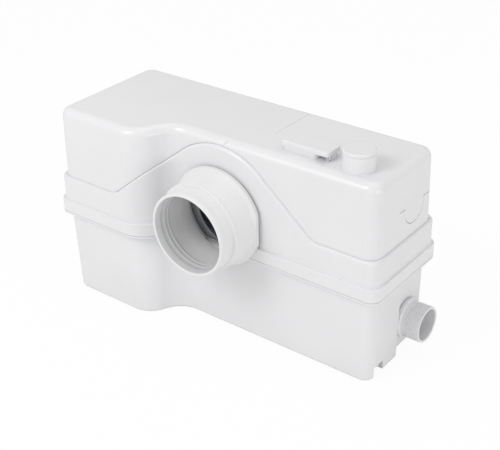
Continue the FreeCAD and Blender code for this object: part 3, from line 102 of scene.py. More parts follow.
class StationSizes(bpy.types.PropertyGroup):
    rim_length: length("Rim length", size_of("tank_cover").x, "Length over the rim")
    rim_back: length("Rim back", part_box("tank_cover")[1].y, "How far behind the middle the rim ends")
    bulge: length("Bulge", 0.0495, "How far the bulge stands out from the front")
    curve_foot: length("Bulge corner", -0.0896, "Where the front begins to swing back")
    curve_angle: angle("Swing", 68.4, "Slant of the swept part of the front")
    convex_radius: length("Outer swing radius", 0.049, "Radius of the outer bend of the front")
    concave_radius: length("Inner swing radius", 0.028, "Radius of the inner bend of the front")
    rim_corner: length("Rim corner", 0.015, "Corner radius of the rim")
    rim_low: length("Rim low edge", 0.128, "Height of the underside of the rim")
    part_line: length("Parting line", 0.132, "Height of the joint of tank and cover")
    rim_top: length("Rim top", 0.151, "Height of the top of the rim")
    band_top: length("Band top", 0.187, "Height of the foot of the hood")
    hood_top: length("Hood top", 0.287, "Height of the top of the hood")
    foot_gap: length("Foot gap", 0.001, "Height of the tank's floor over the ground")
    band_inset: length("Band step", 0.0032, "Step in from the rim to the band")
    hood_inset: length("Hood step", 0.0068, "Step in from the rim to the hood")
    tank_inset: length("Tank step", 0.010, "Step in from the rim to the foot of the tank")
    hood_draft: angle("Hood draft", 0.86, "Lean of the hood's walls")
    tank_draft: angle("Tank draft", 1.0, "Lean of the tank's walls")
    wall: length("Wall", 0.0032, "Thickness of the shells")
    hood_round: length("Hood rounding", 0.012, "Radius along the top edge of the hood")
    hood_corner: length("Hood corner", 0.018, "Radius of the upright corners of the hood")
    tank_corner: length("Tank corner", 0.016, "Radius of the upright corners of the tank")
    shoulder: length("Shoulder", 0.0034, "Rounding along the band and the arch")
    lip: length("Rim lip", 0.0016, "Rounding of the edges of the rim")
    step_round: length("Step rounding", 0.0012, "Fillet where the band stands on the rim")
    seam: length("Seam", 0.0003, "Gap between the hood and the arched field")
    seam_shift: length("Seam shift", 0.0002, "How far the hood sits off the middle of the field")
    panel_seam: length("Panel seam", 0.00012, "Gap round the corner panel")
    inlet_x: length("Inlet across", middle_of("inlet_sleeve").x, "Middle of the toilet inlet, across")
    inlet_z: length("Inlet height", middle_of("inlet_sleeve").z, "Height of the toilet inlet's axis")
    arch_radius: length("Arch radius", 0.098, "Radius of the crown of the arched field")
    arch_angle: angle("Arch flank", 40, "Slant of the flanks of the arched field")
    arch_foot: length("Arch foot radius", 0.026, "Radius where the flanks run into the band")
    arch_wall: length("Arch wall", 0.0115, "Step in from the rim to the back of the arched field")
    socket_face: length("Socket face", 0.0807, "Distance of the sleeve's flange in front of the middle")
    flat_in: length("Flat", 0.0665, "Distance of the flange's flat side from the inlet's axis")
    panel_left: length("Panel left edge", 0.054, "Left edge of the corner panel")
    panel_front: length("Panel front edge", -0.0162, "Front edge of the corner panel")
    panel_low: length("Panel low edge", 0.230, "Lower edge of the corner panel")
    knock_y: length("Knock-out place", 0.020, "Middle of the round end of the corner panel")
    knock_z: length("Knock-out height", 0.226, "Height of the round end of the corner panel")
    knock_radius: length("Knock-out radius", 0.023, "Radius of the round end of the corner panel")
    end_recess: length("End recess", 0.231, "Where the wall of the side inlet stands")
    recess_front: length("Recess front", 0.0005, "Front edge of the recess of the side inlet")
    recess_low: length("Recess foot", 0.012, "Height of the recess's floor")
    notch_front: length("Notch front", -0.055, "Front edge of the notch in the foot")
    notch_back: length("Notch back", -0.033, "Back edge of the notch in the foot")
    notch_top: length("Notch height", 0.020, "Height of the notch in the foot")
    notch_depth: length("Notch depth", 0.036, "Depth of the notch in the foot")
    recess_depth: length("Recess depth", 0.015, "Depth of the recess's floor")
    end_low: length("End foot", 0.006, "Height of the foot of the end over the ground")
    joint_gap: length("Joint gap", 0.0002, "Gap on each side of the joint of tank and cover")
    tank_round: length("Tank rounding", 0.006, "Radius along the bottom edge of the tank")
    tank_floor: length("Tank floor", 0.0035, "Thickness of the tank's floor")
    deck: length("Deck", 0.003, "Thickness of the cover under the hood")
    field_back: length("Field depth", 0.062, "How far in front of the middle the hood's arched cut ends")


class StationFittings(bpy.types.PropertyGroup):
    port_hole: length("Side inlet hole", 0.0251, "Radius of the hole for the side inlet")
    vault_radius: length("Vault radius", 0.066, "Outer radius of the half vault behind the inlet")
    vault_hollow: length("Vault hollow", 0.0628, "Inner radius of the half vault")
    socket_radius: length("Socket radius", 0.0606, "Outer radius of the cover's socket")
    socket_hollow: length("Socket hollow", 0.0574, "Inner radius of the cover's socket")
    inlet_bore: length("Inlet bore", 0.0523, "Radius of the hole that holds the sleeve's tail")
    ring_radius: length("Ring radius", 0.070, "Radius of the ring behind the sleeve's flange")
    ring_thick: length("Ring thickness", 0.0025, "Thickness of the ring behind the flange")
    shaft_hole: length("Shaft hole", 0.0177, "Radius of the hole for the motor's shaft")
    bell_hole: length("Bell hole", 0.0051, "Radius of the hole for the pressure bell's neck")
    riser_hole: length("Riser hole", 0.0184, "Radius of the hole for the discharge riser")
    gland_hole: length("Gland hole", 0.0091, "Radius of the hole for the cable gland")
    vent_radius: length("Vent radius", 0.0205, "Outer radius of the vent and its cap")
    vent_hollow: length("Vent hollow", 0.0165, "Radius of the hollow under the vent cap")
    vent_hole: length("Vent hole", 0.008, "Radius of the hole in the hood's top under the vent")
    cap_head: length("Vent cap head", 0.0045, "Height of the vent cap over its stub")
    box_left: length("Filter box left", 0.089, "Left side of the box under the filter lid")
    box_right: length("Filter box right", 0.139, "Right side of the box under the filter lid")
    box_front: length("Filter box front", -0.0495, "Front side of the box under the filter lid")
    box_back: length("Filter box back", -0.022, "Back side of the box under the filter lid")
    box_top: length("Filter box height", 0.2948, "Height of the box under the filter lid")
    box_wall: length("Filter box wall", 0.003, "Wall of the box under the filter lid")
    box_corner: length("Filter box corner", 0.005, "Corner radius of the filter lid and its box")
    lid_under: length("Lid underside", 0.295, "Height of the underside of the filter lid")
    lid_round: length("Lid rounding", 0.0016, "Radius along the top edge of the filter lid")
    lug_front: length("Lug front", -0.0405, "Front of the hood's lug for the lid pin")
    lug_back: length("Lug back", -0.031, "Back of the hood's lug for the lid pin")
    lug_radius: length("Lug radius", 0.0042, "Radius of the hood's lug for the lid pin")
    ear_radius: length("Ear radius", 0.0032, "Radius of the lid's ears, and half the width of lug and ears")
    ear_width: length("Ear width", 0.0027, "Width of each of the lid's ears along the pin")
    pin_hole: length("Pin hole", 0.0016, "Radius of the hole for the lid pin")


class StationFinishes(bpy.types.PropertyGroup):
    shell: colour("Shell", (0.80, 0.80, 0.81), "Glossy plastic of tank, cover and hood")
    sleeve: colour("Sleeve", (0.80, 0.80, 0.805), "Plastic of the toilet inlet")
    seal: colour("Lip seal", (0.70, 0.70, 0.71), "Rubber of the lip seal")
    inside: colour("Inner parts", (0.50, 0.52, 0.55), "Plastic of the parts inside")
    dark: colour("Dark parts", (0.045, 0.045, 0.05), "Black rubber and plastic")
    steel: colour("Steel", (0.62, 0.62, 0.63), "Shaft, cutter and screws")
    copper: colour("Windings", (0.62, 0.27, 0.12), "Copper windings")
    floor: colour("Floor", (0.90, 0.90, 0.90), "Studio floor")


def sizes():
    return bpy.context.scene.station_sizes


def fittings():
    return bpy.context.scene.station_fittings


def finishes():
    return bpy.context.scene.station_finishes


# Modelling by hand: each of these leaves object mode on


def alone(obj):
    """Select one object only and make it active."""
    bpy.ops.object.select_all(action="DESELECT")
    obj.select_set(True)
    bpy.context.view_layer.objects.active = obj


def pick(obj, kind, test):
    """Go into edit mode with the vertices, edges or faces selected that pass a test."""
    alone(obj)
    bpy.ops.object.mode_set(mode="EDIT")
    bpy.ops.mesh.select_mode(type=kind)
    bpy.ops.mesh.select_all(action="DESELECT")
    mesh = bmesh.from_edit_mesh(obj.data)
    parts = {"VERT": mesh.verts, "EDGE": mesh.edges, "FACE": mesh.faces}[kind]
    chosen = [part for part in parts if test(part)]
    if not chosen:
        raise ValueError("nothing to select on " + obj.name)
    for part in chosen:
        part.select_set(True)
    mesh.select_flush_mode()
    bmesh.update_edit_mesh(obj.data)


def leave():
    bpy.ops.object.mode_set(mode="OBJECT")


def everything(part):
    return True


def shift_vertex(obj, place, step):
    if step.length > TINY / 10:
        pick(obj, "VERT", lambda vertex: (vertex.co - place).length < TINY)
        bpy.ops.transform.translate(value=step)
        leave()


def face_outwards(obj):
    pick(obj, "FACE", everything)
    bpy.ops.mesh.normals_make_consistent(inside=False)
    leave()


def solid(name, low, high):
    """A solid between two outlines with the same number of corners: a filled ring whose
    corners are moved to the first outline, extruded, and moved on to the second."""
    bpy.ops.object.select_all(action="DESELECT")
    bpy.ops.mesh.primitive_circle_add(vertices=len(low), radius=1, fill_type="NGON")
    obj = bpy.context.object
    obj.name = name
    starts = [vertex.co.copy() for vertex in obj.data.vertices]
    far = Vector((0, 0, 10))
    for start, target in zip(starts, low):
        shift_vertex(obj, start, target - start + far)
    rise = high[0] - low[0]
    pick(obj, "FACE", everything)
    bpy.ops.transform.translate(value=-far)
    bpy.ops.mesh.extrude_region_move(TRANSFORM_OT_translate={"value": rise})
    leave()
    for start, target in zip(low, high):
        shift_vertex(obj, start + rise, target - start - rise)
    face_outwards(obj)
    return obj


def between(edge, one, other):
    first, second = (vertex.co for vertex in edge.verts)
    return (max((first - one).length, (second - other).length) < TINY * 5
            or max((first - other).length, (second - one).length) < TINY * 5)


def round_edges(obj, test, radius, steps, slide=True):
    """Round the chosen edges by a radius, in a number of steps."""
    pick(obj, "EDGE", test)
    bpy.ops.mesh.bevel(offset=radius, segments=steps, profile=0.5, affect="EDGES", loop_slide=slide)
    leave()


def level(height):
    return lambda edge: all(abs(vertex.co.z - height) < TINY for vertex in edge.verts)


def place_whole(obj, matrix=None):
    """Put an object where it belongs and move that place into its mesh."""
    if matrix:
        obj.matrix_world = matrix
    alone(obj)
    bpy.ops.object.transform_apply(location=True, rotation=True, scale=True)
    return obj


def brick(name, low, high):
    low, high = Vector(low), Vector(high)
    bpy.ops.object.select_all(action="DESELECT")
    bpy.ops.mesh.primitive_cube_add(size=1, location=(low + high) / 2, scale=high - low)
    bpy.context.object.name = name
    return place_whole(bpy.context.object)


def rod(name, radius, start, end, steps=96):
    """A cylinder between two points."""
    start, end = Vector(start), Vector(end)
    bpy.ops.object.select_all(action="DESELECT")
    bpy.ops.mesh.primitive_cylinder_add(vertices=steps, radius=radius, depth=(end - start).length)
    obj = bpy.context.object
    obj.name = name
    turn = Vector((0, 0, 1)).rotation_difference(end - start).to_matrix().to_4x4()
    return place_whole(obj, Matrix.Translation((start + end) / 2) @ turn)


TO_X = Matrix.Rotation(math.pi / 2, 4, "Y")
TO_FRONT = Matrix.Rotation(math.pi / 2, 4, "X")
UPRIGHT = Matrix.Identity(4)


def turned(name, profile, place, turn=UPRIGHT, steps=128, closed=True):
    """A turned piece: a ring extruded and scaled from point to point of (radius, height)."""
    bpy.ops.object.select_all(action="DESELECT")
    bpy.ops.mesh.primitive_circle_add(vertices=steps, radius=profile[0][0], location=(0, 0, profile[0][1]))
    obj = bpy.context.object
    obj.name = name
    place_whole(obj)
    pick(obj, "VERT", everything)
    for (radius, height), (next_radius, next_height) in zip(profile, profile[1:]):
        bpy.ops.mesh.extrude_region_move(TRANSFORM_OT_translate={"value": (0, 0, next_height - height)})
        ratio = next_radius / radius
        bpy.ops.transform.resize(value=(ratio, ratio, 1), center_override=(0, 0, next_height))
    leave()
    rings = [profile[0], profile[-1]]

    def on_ring(vertex, ring):
        radius = math.hypot(vertex.co.x, vertex.co.y)
        return abs(radius - ring[0]) < TINY and abs(vertex.co.z - ring[1]) < TINY

    if closed:
        pick(obj, "EDGE", lambda edge: edge.is_boundary and any(
            all(on_ring(vertex, ring) for vertex in edge.verts) for ring in rings))
        bpy.ops.mesh.bridge_edge_loops()
        leave()
    else:
        for ring in rings:
            pick(obj, "EDGE", lambda edge: all(on_ring(vertex, ring) for vertex in edge.verts))
            bpy.ops.mesh.edge_face_add()
            leave()
    face_outwards(obj)
    return place_whole(obj, Matrix.Translation(place) @ turn)


def apply_change(obj, kind, **settings):
    """Add a modifier with its settings and apply it."""
    alone(obj)
    change = obj.modifiers.new(kind.lower(), kind)
    for key, value in settings.items():
        setattr(change, key, value)
    bpy.ops.object.modifier_apply(modifier=change.name)
    return obj


def combine(obj, tools, how):
    for tool in tools:
        apply_change(obj, "BOOLEAN", object=tool, operation=how, solver="EXACT")
        bpy.data.objects.remove(tool, do_unlink=True)
    return obj


def carve(obj, *tools):
    return combine(obj, tools, "DIFFERENCE")


def join(obj, *tools):
    return combine(obj, tools, "UNION")


def keep_inside(obj, tool):
    return combine(obj, [tool], "INTERSECT")


def finish(obj, node, body, slot, edge):
    """Merge, break the sharp edges, shade, paint, and let the piece stand for its CAD node."""
    pick(obj, "VERT", everything)
    bpy.ops.mesh.remove_doubles(threshold=TINY)
    bpy.ops.mesh.dissolve_degenerate(threshold=TINY)
    leave()
    if edge:
        apply_change(obj, "BEVEL", width=edge, segments=2, limit_method="ANGLE", angle_limit=SHARP,
                     use_clamp_overlap=True)
    alone(obj)
    bpy.ops.object.shade_smooth_by_angle(angle=SHARP)
    apply_change(obj, "WEIGHTED_NORMAL", keep_sharp=True, weight=80)
    obj.name = node + "_skin"
    obj.data.name = obj.name
    obj.data.materials.clear()
    obj.data.materials.append(paint_for(slot))
    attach(obj, body)
    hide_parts(node)
    return obj


# The plan of the station


def bend(before, corner, after, radius, steps):
    """The points of an arc that rounds a corner between its two neighbours."""
    before, corner, after = Vector(before), Vector(corner), Vector(after)
    into, out = (before - corner).normalized(), (after - corner).normalized()
    half = into.angle(out) / 2
    centre = corner + (into + out).normalized() * radius / math.sin(half)
    start = corner + into * radius / math.tan(half) - centre
    end = corner + out * radius / math.tan(half) - centre
    sweep = start.angle_signed(end)
    turns = [Matrix.Rotation(-sweep * index / steps, 2) for index in range(steps + 1)]
    return [tuple(centre + turn @ start) for turn in turns]


def outline(inset):
    """The plan stepped in from the rim: a straight back, and a front that swings forward
    in an S to the bulge on the left."""
    s = sizes()
    half, back = s.rim_length / 2 - inset, s.rim_back - inset
    front, step = inset - s.rim_back - s.bulge, inset - s.rim_back
    foot = s.curve_foot - math.tan(s.curve_angle / 2) * inset
    outer, inner = (foot, front), (foot + s.bulge / math.tan(s.curve_angle), step)
    return ([(-half, back), (-half, front)]
            + bend((-half, front), outer, inner, s.convex_radius - inset, 18)
            + bend(outer, inner, (half, step), s.concave_radius + inset, 12)
            + [(half, step), (half, back)])


def block(name, inset, low, high, corner, lean=0.0, top=0.0, bottom=0.0):
    """A block with the station's plan between two levels, whose walls step in by lean."""
    under = [Vector((x, y, low)) for x, y in outline(inset)]
    over = [Vector((x, y, high)) for x, y in outline(inset + lean)]
    obj = solid(name, under, over)
    corner_steps, top_steps, bottom_steps = 12, 8, 5
    for index in (0, 1, -2, -1):
        round_edges(obj, lambda edge: between(edge, under[index], over[index]), corner, corner_steps)
    if top:
        round_edges(obj, level(high), top, top_steps)
    if bottom:
        round_edges(obj, level(low), bottom, bottom_steps)
    return obj


def arch(name, grow, front, back):
    """The arched field's outline as a solid: a crown about the inlet, straight flanks and
    rounded feet, from one distance in front of the middle to another."""
    s = sizes()
    radius, slant = s.arch_radius + grow, s.arch_angle
    apex = s.inlet_z + radius / math.cos(slant)
    foot = (apex - s.band_top) / math.tan(slant)
    far, under = s.rim_length / 2 + PAST, s.rim_top - 0.1
    left, right = (s.inlet_x - foot, s.band_top), (s.inlet_x + foot, s.band_top)
    crown = (s.inlet_x, apex)
    corners = ([(-far, under), (-far, s.band_top)]
               + bend((-far, s.band_top), left, crown, s.arch_foot, 10)
               + bend(left, crown, right, radius, 60)
               + bend(crown, right, (far, s.band_top), s.arch_foot, 10)
               + [(far, s.band_top), (far, under)])
    near = [Vector((x, -front, z)) for x, z in corners]
    rear = [Vector((x, -back, z)) for x, z in corners]
    return solid(name, near, rear)


def inlet_rod(name, radius, front, back):
    s = sizes()
    return rod(name, radius, (s.inlet_x, -front, s.inlet_z), (s.inlet_x, -back, s.inlet_z), 128)


# Finishes


def nodes_of(name):
    """A new material with its shader, an adder of nodes and a way to feed the shader."""
    material = bpy.data.materials.new(name)
    material.use_nodes = True
    tree = material.node_tree
    shader = tree.nodes["Principled BSDF"]

    def add(kind, links=None, **settings):
        node = tree.nodes.new(kind)
        for key, value in settings.items():
            if hasattr(node, key):
                setattr(node, key, value)
            else:
                node.inputs[key.replace("_", " ").title()].default_value = value
        for socket, source in (links or {}).items():
            tree.links.new(source, node.inputs[socket])
        return node

    def feed(**values):
        for key, value in values.items():
            socket = shader.inputs[SHADER_SOCKETS[key]]
            if isinstance(value, (int, float)):
                socket.default_value = value
            else:
                tree.links.new(value, socket)
        return material

    return add, feed


SHADER_SOCKETS = {"paint": "Base Color", "rough": "Roughness", "normal": "Normal", "metal": "Metallic",
                  "ior": "IOR", "gleam": "Specular IOR Level"}


def clouds_of(add, where, scale, detail=2.0):
    return add("ShaderNodeTexNoise", {"Vector": where}, scale=scale, detail=detail).outputs["Fac"]


def shades(add, factor, base, dark, pale=1):
    """A colour that runs from a darker to a paler shade of the base."""
    mix = add("ShaderNodeMix", {"Factor": factor}, data_type="RGBA")
    for socket, ratio in ((6, dark), (7, pale)):
        mix.inputs[socket].default_value = (*[min(1, channel * ratio) for channel in base], 1)
    return mix.outputs[2]


def span(add, value, low, high):
    """A value between 0 and 1 spread from low to high."""
    return add("ShaderNodeMapRange", {"Value": value}, to_min=low, to_max=high).outputs["Result"]


def bumps(add, height, strength, distance, under=None):
    links = {"Height": height, "Normal": under} if under else {"Height": height}
    return add("ShaderNodeBump", links, strength=strength, distance=distance).outputs["Normal"]


def plastic(name, base, rough=(0.16, 0.26), grain=0.012, tint=0.03, gleam=0.5):
    """Moulded plastic: clouds in its colour and gloss, long soft waves and a fine grain."""
    add, feed = nodes_of(name)
    where = add("ShaderNodeTexCoord").outputs["Object"]
    clouds = clouds_of(add, where, 9.0, 4.0)
    ramp = add("ShaderNodeMapRange", {"Value": clouds}, from_min=0.3, from_max=0.7).outputs["Result"]
    gloss = span(add, clouds_of(add, where, 42.0), *rough)
    waves = bumps(add, clouds, 0.05, 0.004)
    fine = bumps(add, clouds_of(add, where, 1400.0), grain, 0.0004, waves)
    return feed(paint=shades(add, ramp, base, 1 - tint), rough=gloss, normal=fine, ior=1.5, gleam=gleam)


def rubber(name, base):
    """Moulded rubber: dull, with a faint bloom and a fine grain."""
    return plastic(name, base, rough=(0.5, 0.75), grain=0.08, tint=0.2, gleam=0.35)


def metal(name, base, rough=(0.25, 0.42), stretch=(1, 1, 14)):
    """Drawn or turned metal: fine lines along the turning, over a soft mottle."""
    add, feed = nodes_of(name)
    where = add("ShaderNodeTexCoord").outputs["Object"]
    lay = add("ShaderNodeMapping", {"Vector": where})
    lay.inputs["Scale"].default_value = stretch
    lines = clouds_of(add, lay.outputs["Vector"], 220.0, 3.0)
    mottle = clouds_of(add, where, 60.0, 4.0)
    return feed(paint=shades(add, mottle, base, 0.8), rough=span(add, lines, *rough),
                normal=bumps(add, lines, 0.12, 0.0002), metal=1)


def winding(name, base):
    """Enamelled wire laid in tight rings."""
    add, feed = nodes_of(name)
    where = add("ShaderNodeTexCoord").outputs["Object"]
    wires = add("ShaderNodeTexWave", {"Vector": where}, bands_direction="Z", scale=160.0, distortion=1.5)
    wires = wires.outputs["Fac"]
    return feed(paint=shades(add, wires, base, 0.35), rough=0.35, normal=bumps(add, wires, 0.6, 0.0005),
                metal=0.7)


def foam(name, base):
    """Open-celled filter foam."""
    add, feed = nodes_of(name)
    where = add("ShaderNodeTexCoord").outputs["Object"]
    cells = add("ShaderNodeTexVoronoi", {"Vector": where}, scale=900.0).outputs["Distance"]
    return feed(paint=shades(add, cells, base, 0.2, 2.2), rough=0.95, normal=bumps(add, cells, 0.8, 0.001))


def paint_for(slot):
    """The finish of a record slot, made once."""
    f = finishes()
    name = "station_" + slot
    if name in bpy.data.materials:
        return bpy.data.materials[name]
    makers = {
        "white_shell": lambda: plastic(name, f.shell),
        "white_port": lambda: plastic(name, f.shell, rough=(0.22, 0.34)),
        "white_sleeve": lambda: plastic(name, f.sleeve, rough=(0.24, 0.36)),
        "grey_rubber": lambda: plastic(name, f.seal, rough=(0.3, 0.45), grain=0.05, tint=0.06),
        "black_rubber": lambda: rubber(name, f.dark),
        "steel": lambda: metal(name, f.steel),
        "blade_steel": lambda: metal(name, f.steel, rough=(0.2, 0.34), stretch=(14, 1, 1)),
        "core_steel": lambda: metal(name, [channel * 0.4 for channel in f.steel], rough=(0.4, 0.6),
                                    stretch=(1, 1, 30)),
        "copper": lambda: winding(name, f.copper),
        "motor_grey": lambda: plastic(name, [channel * 0.45 for channel in f.inside], rough=(0.35, 0.5),
                                      grain=0.1, tint=0.12),
        "dark_plastic": lambda: plastic(name, f.dark, rough=(0.35, 0.5), grain=0.06, tint=0.2),
        "inner_plastic": lambda: plastic(name, f.inside, rough=(0.32, 0.48), grain=0.05, tint=0.08),
        "capacitor_can": lambda: plastic(name, f.shell, rough=(0.3, 0.42), tint=0.05),
        "charcoal": lambda: foam(name, f.dark),
    }
    return makers[slot]()


# The pieces


def make_tank():
    s = sizes()
    wall, back, far = s.wall, s.rim_back, s.rim_length / 2
    edge, step, corner = far - s.tank_inset, s.end_recess, s.end_recess - s.recess_depth
    lean = -math.tan(s.tank_draft) * (s.part_line - s.foot_gap)
    tank = block("tank", s.tank_inset, s.foot_gap, s.part_line, s.tank_corner, lean, bottom=s.tank_round)
    join(tank, block("tank_rim", 0, s.rim_low, s.part_line - s.joint_gap, s.rim_corner, bottom=s.lip))
    inner = block("tank_inner", s.tank_inset + wall, s.foot_gap + s.tank_floor, s.part_line + NEAR,
                  s.tank_corner - wall, lean)
    keep_y = s.recess_front - wall
    carve(inner, brick("keep_recess", (step - wall, keep_y, -PAST), (far, back, s.part_line + 2 * NEAR)),
          brick("keep_corner", (corner - wall, keep_y, -PAST), (far, back, s.recess_low + wall)),
          brick("keep_end", (corner - wall, s.notch_back - wall, -PAST),
                (far, s.recess_front, s.end_low + wall)),
          brick("keep_notch", (edge - s.notch_depth - wall, s.notch_front - wall, -PAST),
                (far, s.notch_back + wall, s.notch_top + wall)))
    port = middle_of("side_port")
    carve(tank, inner,
          brick("end_step", (step, s.recess_front, -PAST), (far + PAST, back + PAST, s.rim_low)),
          brick("end_corner", (corner, s.recess_front, -PAST), (far + PAST, back + PAST, s.recess_low)),
          brick("end_foot", (corner, s.notch_back - NEAR, -PAST),
                (far + PAST, s.recess_front + NEAR, s.end_low)),
          brick("notch", (edge - s.notch_depth, s.notch_front, -PAST),
                (far + PAST, s.notch_back, s.notch_top)),
          rod("port_bore", fittings().port_hole, (step / 2, port.y, port.z), (far + PAST, port.y, port.z)))
    join(tank, *notch_hook(edge))
    return finish(tank, "tank", "station", "white_shell", 0.0005)


def notch_hook(edge):
    """The small hook in the notch of the foot: a leg that hangs from a bar under its top."""
    s = sizes()
    outer, inner, back = edge - 0.004, edge - 0.009, s.notch_back - 0.003
    leg_depth, leg_low = 0.0035, 0.011
    bar_reach, bar_height, clear = 0.011, 0.0025, 0.0001
    leg = brick("hook_leg", (inner, back - leg_depth, leg_low), (outer, back, s.notch_top + NEAR))
    bar = brick("hook_bar", (inner - clear, s.notch_back - bar_reach, s.notch_top - bar_height),
                (outer + clear, s.notch_back + NEAR, s.notch_top + NEAR - clear))
    return leg, bar


def is_top_chain(edge):
    """An edge between an upright wall and a face that looks up."""
    upright, sloping = 0.05, 0.3
    if len(edge.link_faces) != 2:
        return False
    slopes = sorted(abs(face.normal.z) for face in edge.link_faces)
    return (slopes[0] < upright and slopes[1] > sloping
            and edge.verts[0].co.z > sizes().band_top - NEAR
            and any(face.normal.z > sloping for face in edge.link_faces))


def make_cover():
    s, f = sizes(), fittings()
    far, back = s.rim_length / 2, s.rim_back
    cover = block("cover", s.band_inset, s.part_line, s.hood_top, s.rim_corner)
    keep_inside(cover, arch("cover_arch", 0, back + s.bulge + 2 * PAST, -back - 2 * PAST))
    round_edges(cover, is_top_chain, s.shoulder, 6, slide=False)
    behind = block("behind", s.arch_wall, s.band_top, s.hood_top + PAST, s.tank_corner)
    carve(cover, behind, brick("behind_back", (-far, 2 * NEAR - s.field_back, s.band_top),
                               (far, back + PAST, s.hood_top + PAST)))
    join(cover, block("cover_rim", 0, s.part_line + s.joint_gap, s.rim_top, s.rim_corner, top=s.lip,
                      bottom=2 * s.joint_gap))
    on_rim, folded = level(s.rim_top), 1
    round_edges(cover, lambda edge: on_rim(edge) and edge.calc_face_angle() > folded, s.step_round, 4,
                slide=False)
    deck_low = s.band_top - s.deck
    hollow = block("cover_inner", s.tank_inset + NEAR, s.part_line - NEAR, deck_low, s.tank_corner)
    face, inner_face = back - s.band_inset, back - s.arch_wall
    vault_end, wide = -0.004, 0.2
    vault = inlet_rod("vault", f.vault_radius, face - 2 * NEAR, vault_end)
    carve(vault, brick("vault_keep", (-wide, -wide, 0), (wide, wide, deck_low)))
    socket = inlet_rod("socket", f.socket_radius, s.socket_face, face - 3 * NEAR)
    clear, seat = 0.0004, f.ring_thick + 0.0003
    carve(cover, hollow,
          inlet_rod("ring_seat", f.ring_radius + clear, s.socket_face + NEAR, s.socket_face - seat))
    join(vault, socket)
    join(cover, vault)
    holes = ((f.shaft_hole, "motor_shaft"), (f.bell_hole, "pressure_bell"), (f.riser_hole, "riser_grommet"))
    carve(cover, inlet_rod("vault_hollow", f.vault_hollow, inner_face, vault_end + s.wall),
          inlet_rod("inlet_bore", f.inlet_bore, far, s.field_back),
          inlet_rod("socket_hollow", f.socket_hollow, s.socket_face - s.wall, inner_face - s.joint_gap),
          *[upright_hole(radius, middle_of(node), s.rim_top, s.hood_top) for radius, node in holes])
    return finish(cover, "tank_cover", "station", "white_shell", 0.0003)


def upright_hole(radius, place, low, high, steps=96):
    return rod("hole", radius, (place.x, place.y, low), (place.x, place.y, high), steps)


def hood_skin(name, thick, step=0.0):
    """The hood's skin, a given step inside its outside."""
    s = sizes()
    lean = math.tan(s.hood_draft) * (s.hood_top - s.band_top)
    obj = block(name, s.hood_inset + step, s.band_top + s.joint_gap, s.hood_top - step,
                s.hood_corner - step, lean, top=s.hood_round - step)
    downward = -0.9
    pick(obj, "FACE", lambda part: part.normal.z < downward)
    bpy.ops.mesh.delete(type="FACE")
    leave()
    return apply_change(obj, "SOLIDIFY", thickness=thick, offset=-1, use_even_offset=True)


def panel_shape(name, grow):
    """The corner of the hood that comes off over the discharge line."""
    s = sizes()
    far, reach = s.rim_length / 2, 0.024
    corner = brick(name, (s.panel_left - grow, s.panel_front - grow, s.panel_low - grow),
                   (far, s.rim_back + PAST, s.hood_top + PAST))
    return join(corner, rod(name + "_round", s.knock_radius + grow, (far - reach, s.knock_y, s.knock_z),
                            (far + NEAR, s.knock_y, s.knock_z)))


def panel_catches():
    """What the slots of the catches take off the end wall, beside and round the panel's end."""
    s = sizes()
    far = s.rim_length / 2
    deep, height = far - 0.0105, 0.0008
    slots = [brick("catch", (deep, front, s.panel_low - height), (far, back, s.panel_low))
             for front, back in ((s.panel_front, 0.001), (0.041, 0.060))]
    across, up = s.knock_y - 0.0004, s.knock_z - 0.0007
    return slots + [rod("catch_round", s.knock_radius, (deep, across, up), (far, across, up))]


def arch_slit():
    """What the fine slit takes off that runs from the crown of the arch up the hood."""
    width, height, front, back = 0.0003, 0.018, 0.076, 0.0645
    place, slant = (0.014, 0, 0.2828), math.radians(37)
    slit = brick("slit", (-width / 2, -front, -height / 2), (width / 2, -back, height / 2))
    return place_whole(slit, Matrix.Translation(place) @ Matrix.Rotation(slant, 4, "Y"))


def vent_stub(low):
    """The round stub under the vent cap, with a small foot on the hood."""
    vent, top = middle_of("vent_cap"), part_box("vent_cap")[1].z - fittings().cap_head
    radius, foot = fittings().vent_radius, sizes().hood_top
    profile = [(radius + 0.0005, low), (radius + 0.0005, foot + 0.0003), (radius + 0.0002, foot + 0.0009),
               (radius, foot + 0.0020), (radius, foot + 0.0040), (radius, top - 0.0006),
               (radius - 0.0004, top)]
    return turned("stub", profile, (vent.x, vent.y, 0), closed=False)


def lid_lug(low):
    """The lug on the hood that the pin of the filter lid goes through."""
    f = fittings()
    pin, half = middle_of("filter_lid_pin"), f.ear_radius
    stem = brick("lug", (pin.x - half, f.lug_front, low), (pin.x + half, f.lug_back, pin.z))
    eye = rod("lug_eye", f.lug_radius, (pin.x, f.lug_front, pin.z), (pin.x, f.lug_back, pin.z), 48)
    return stem, eye


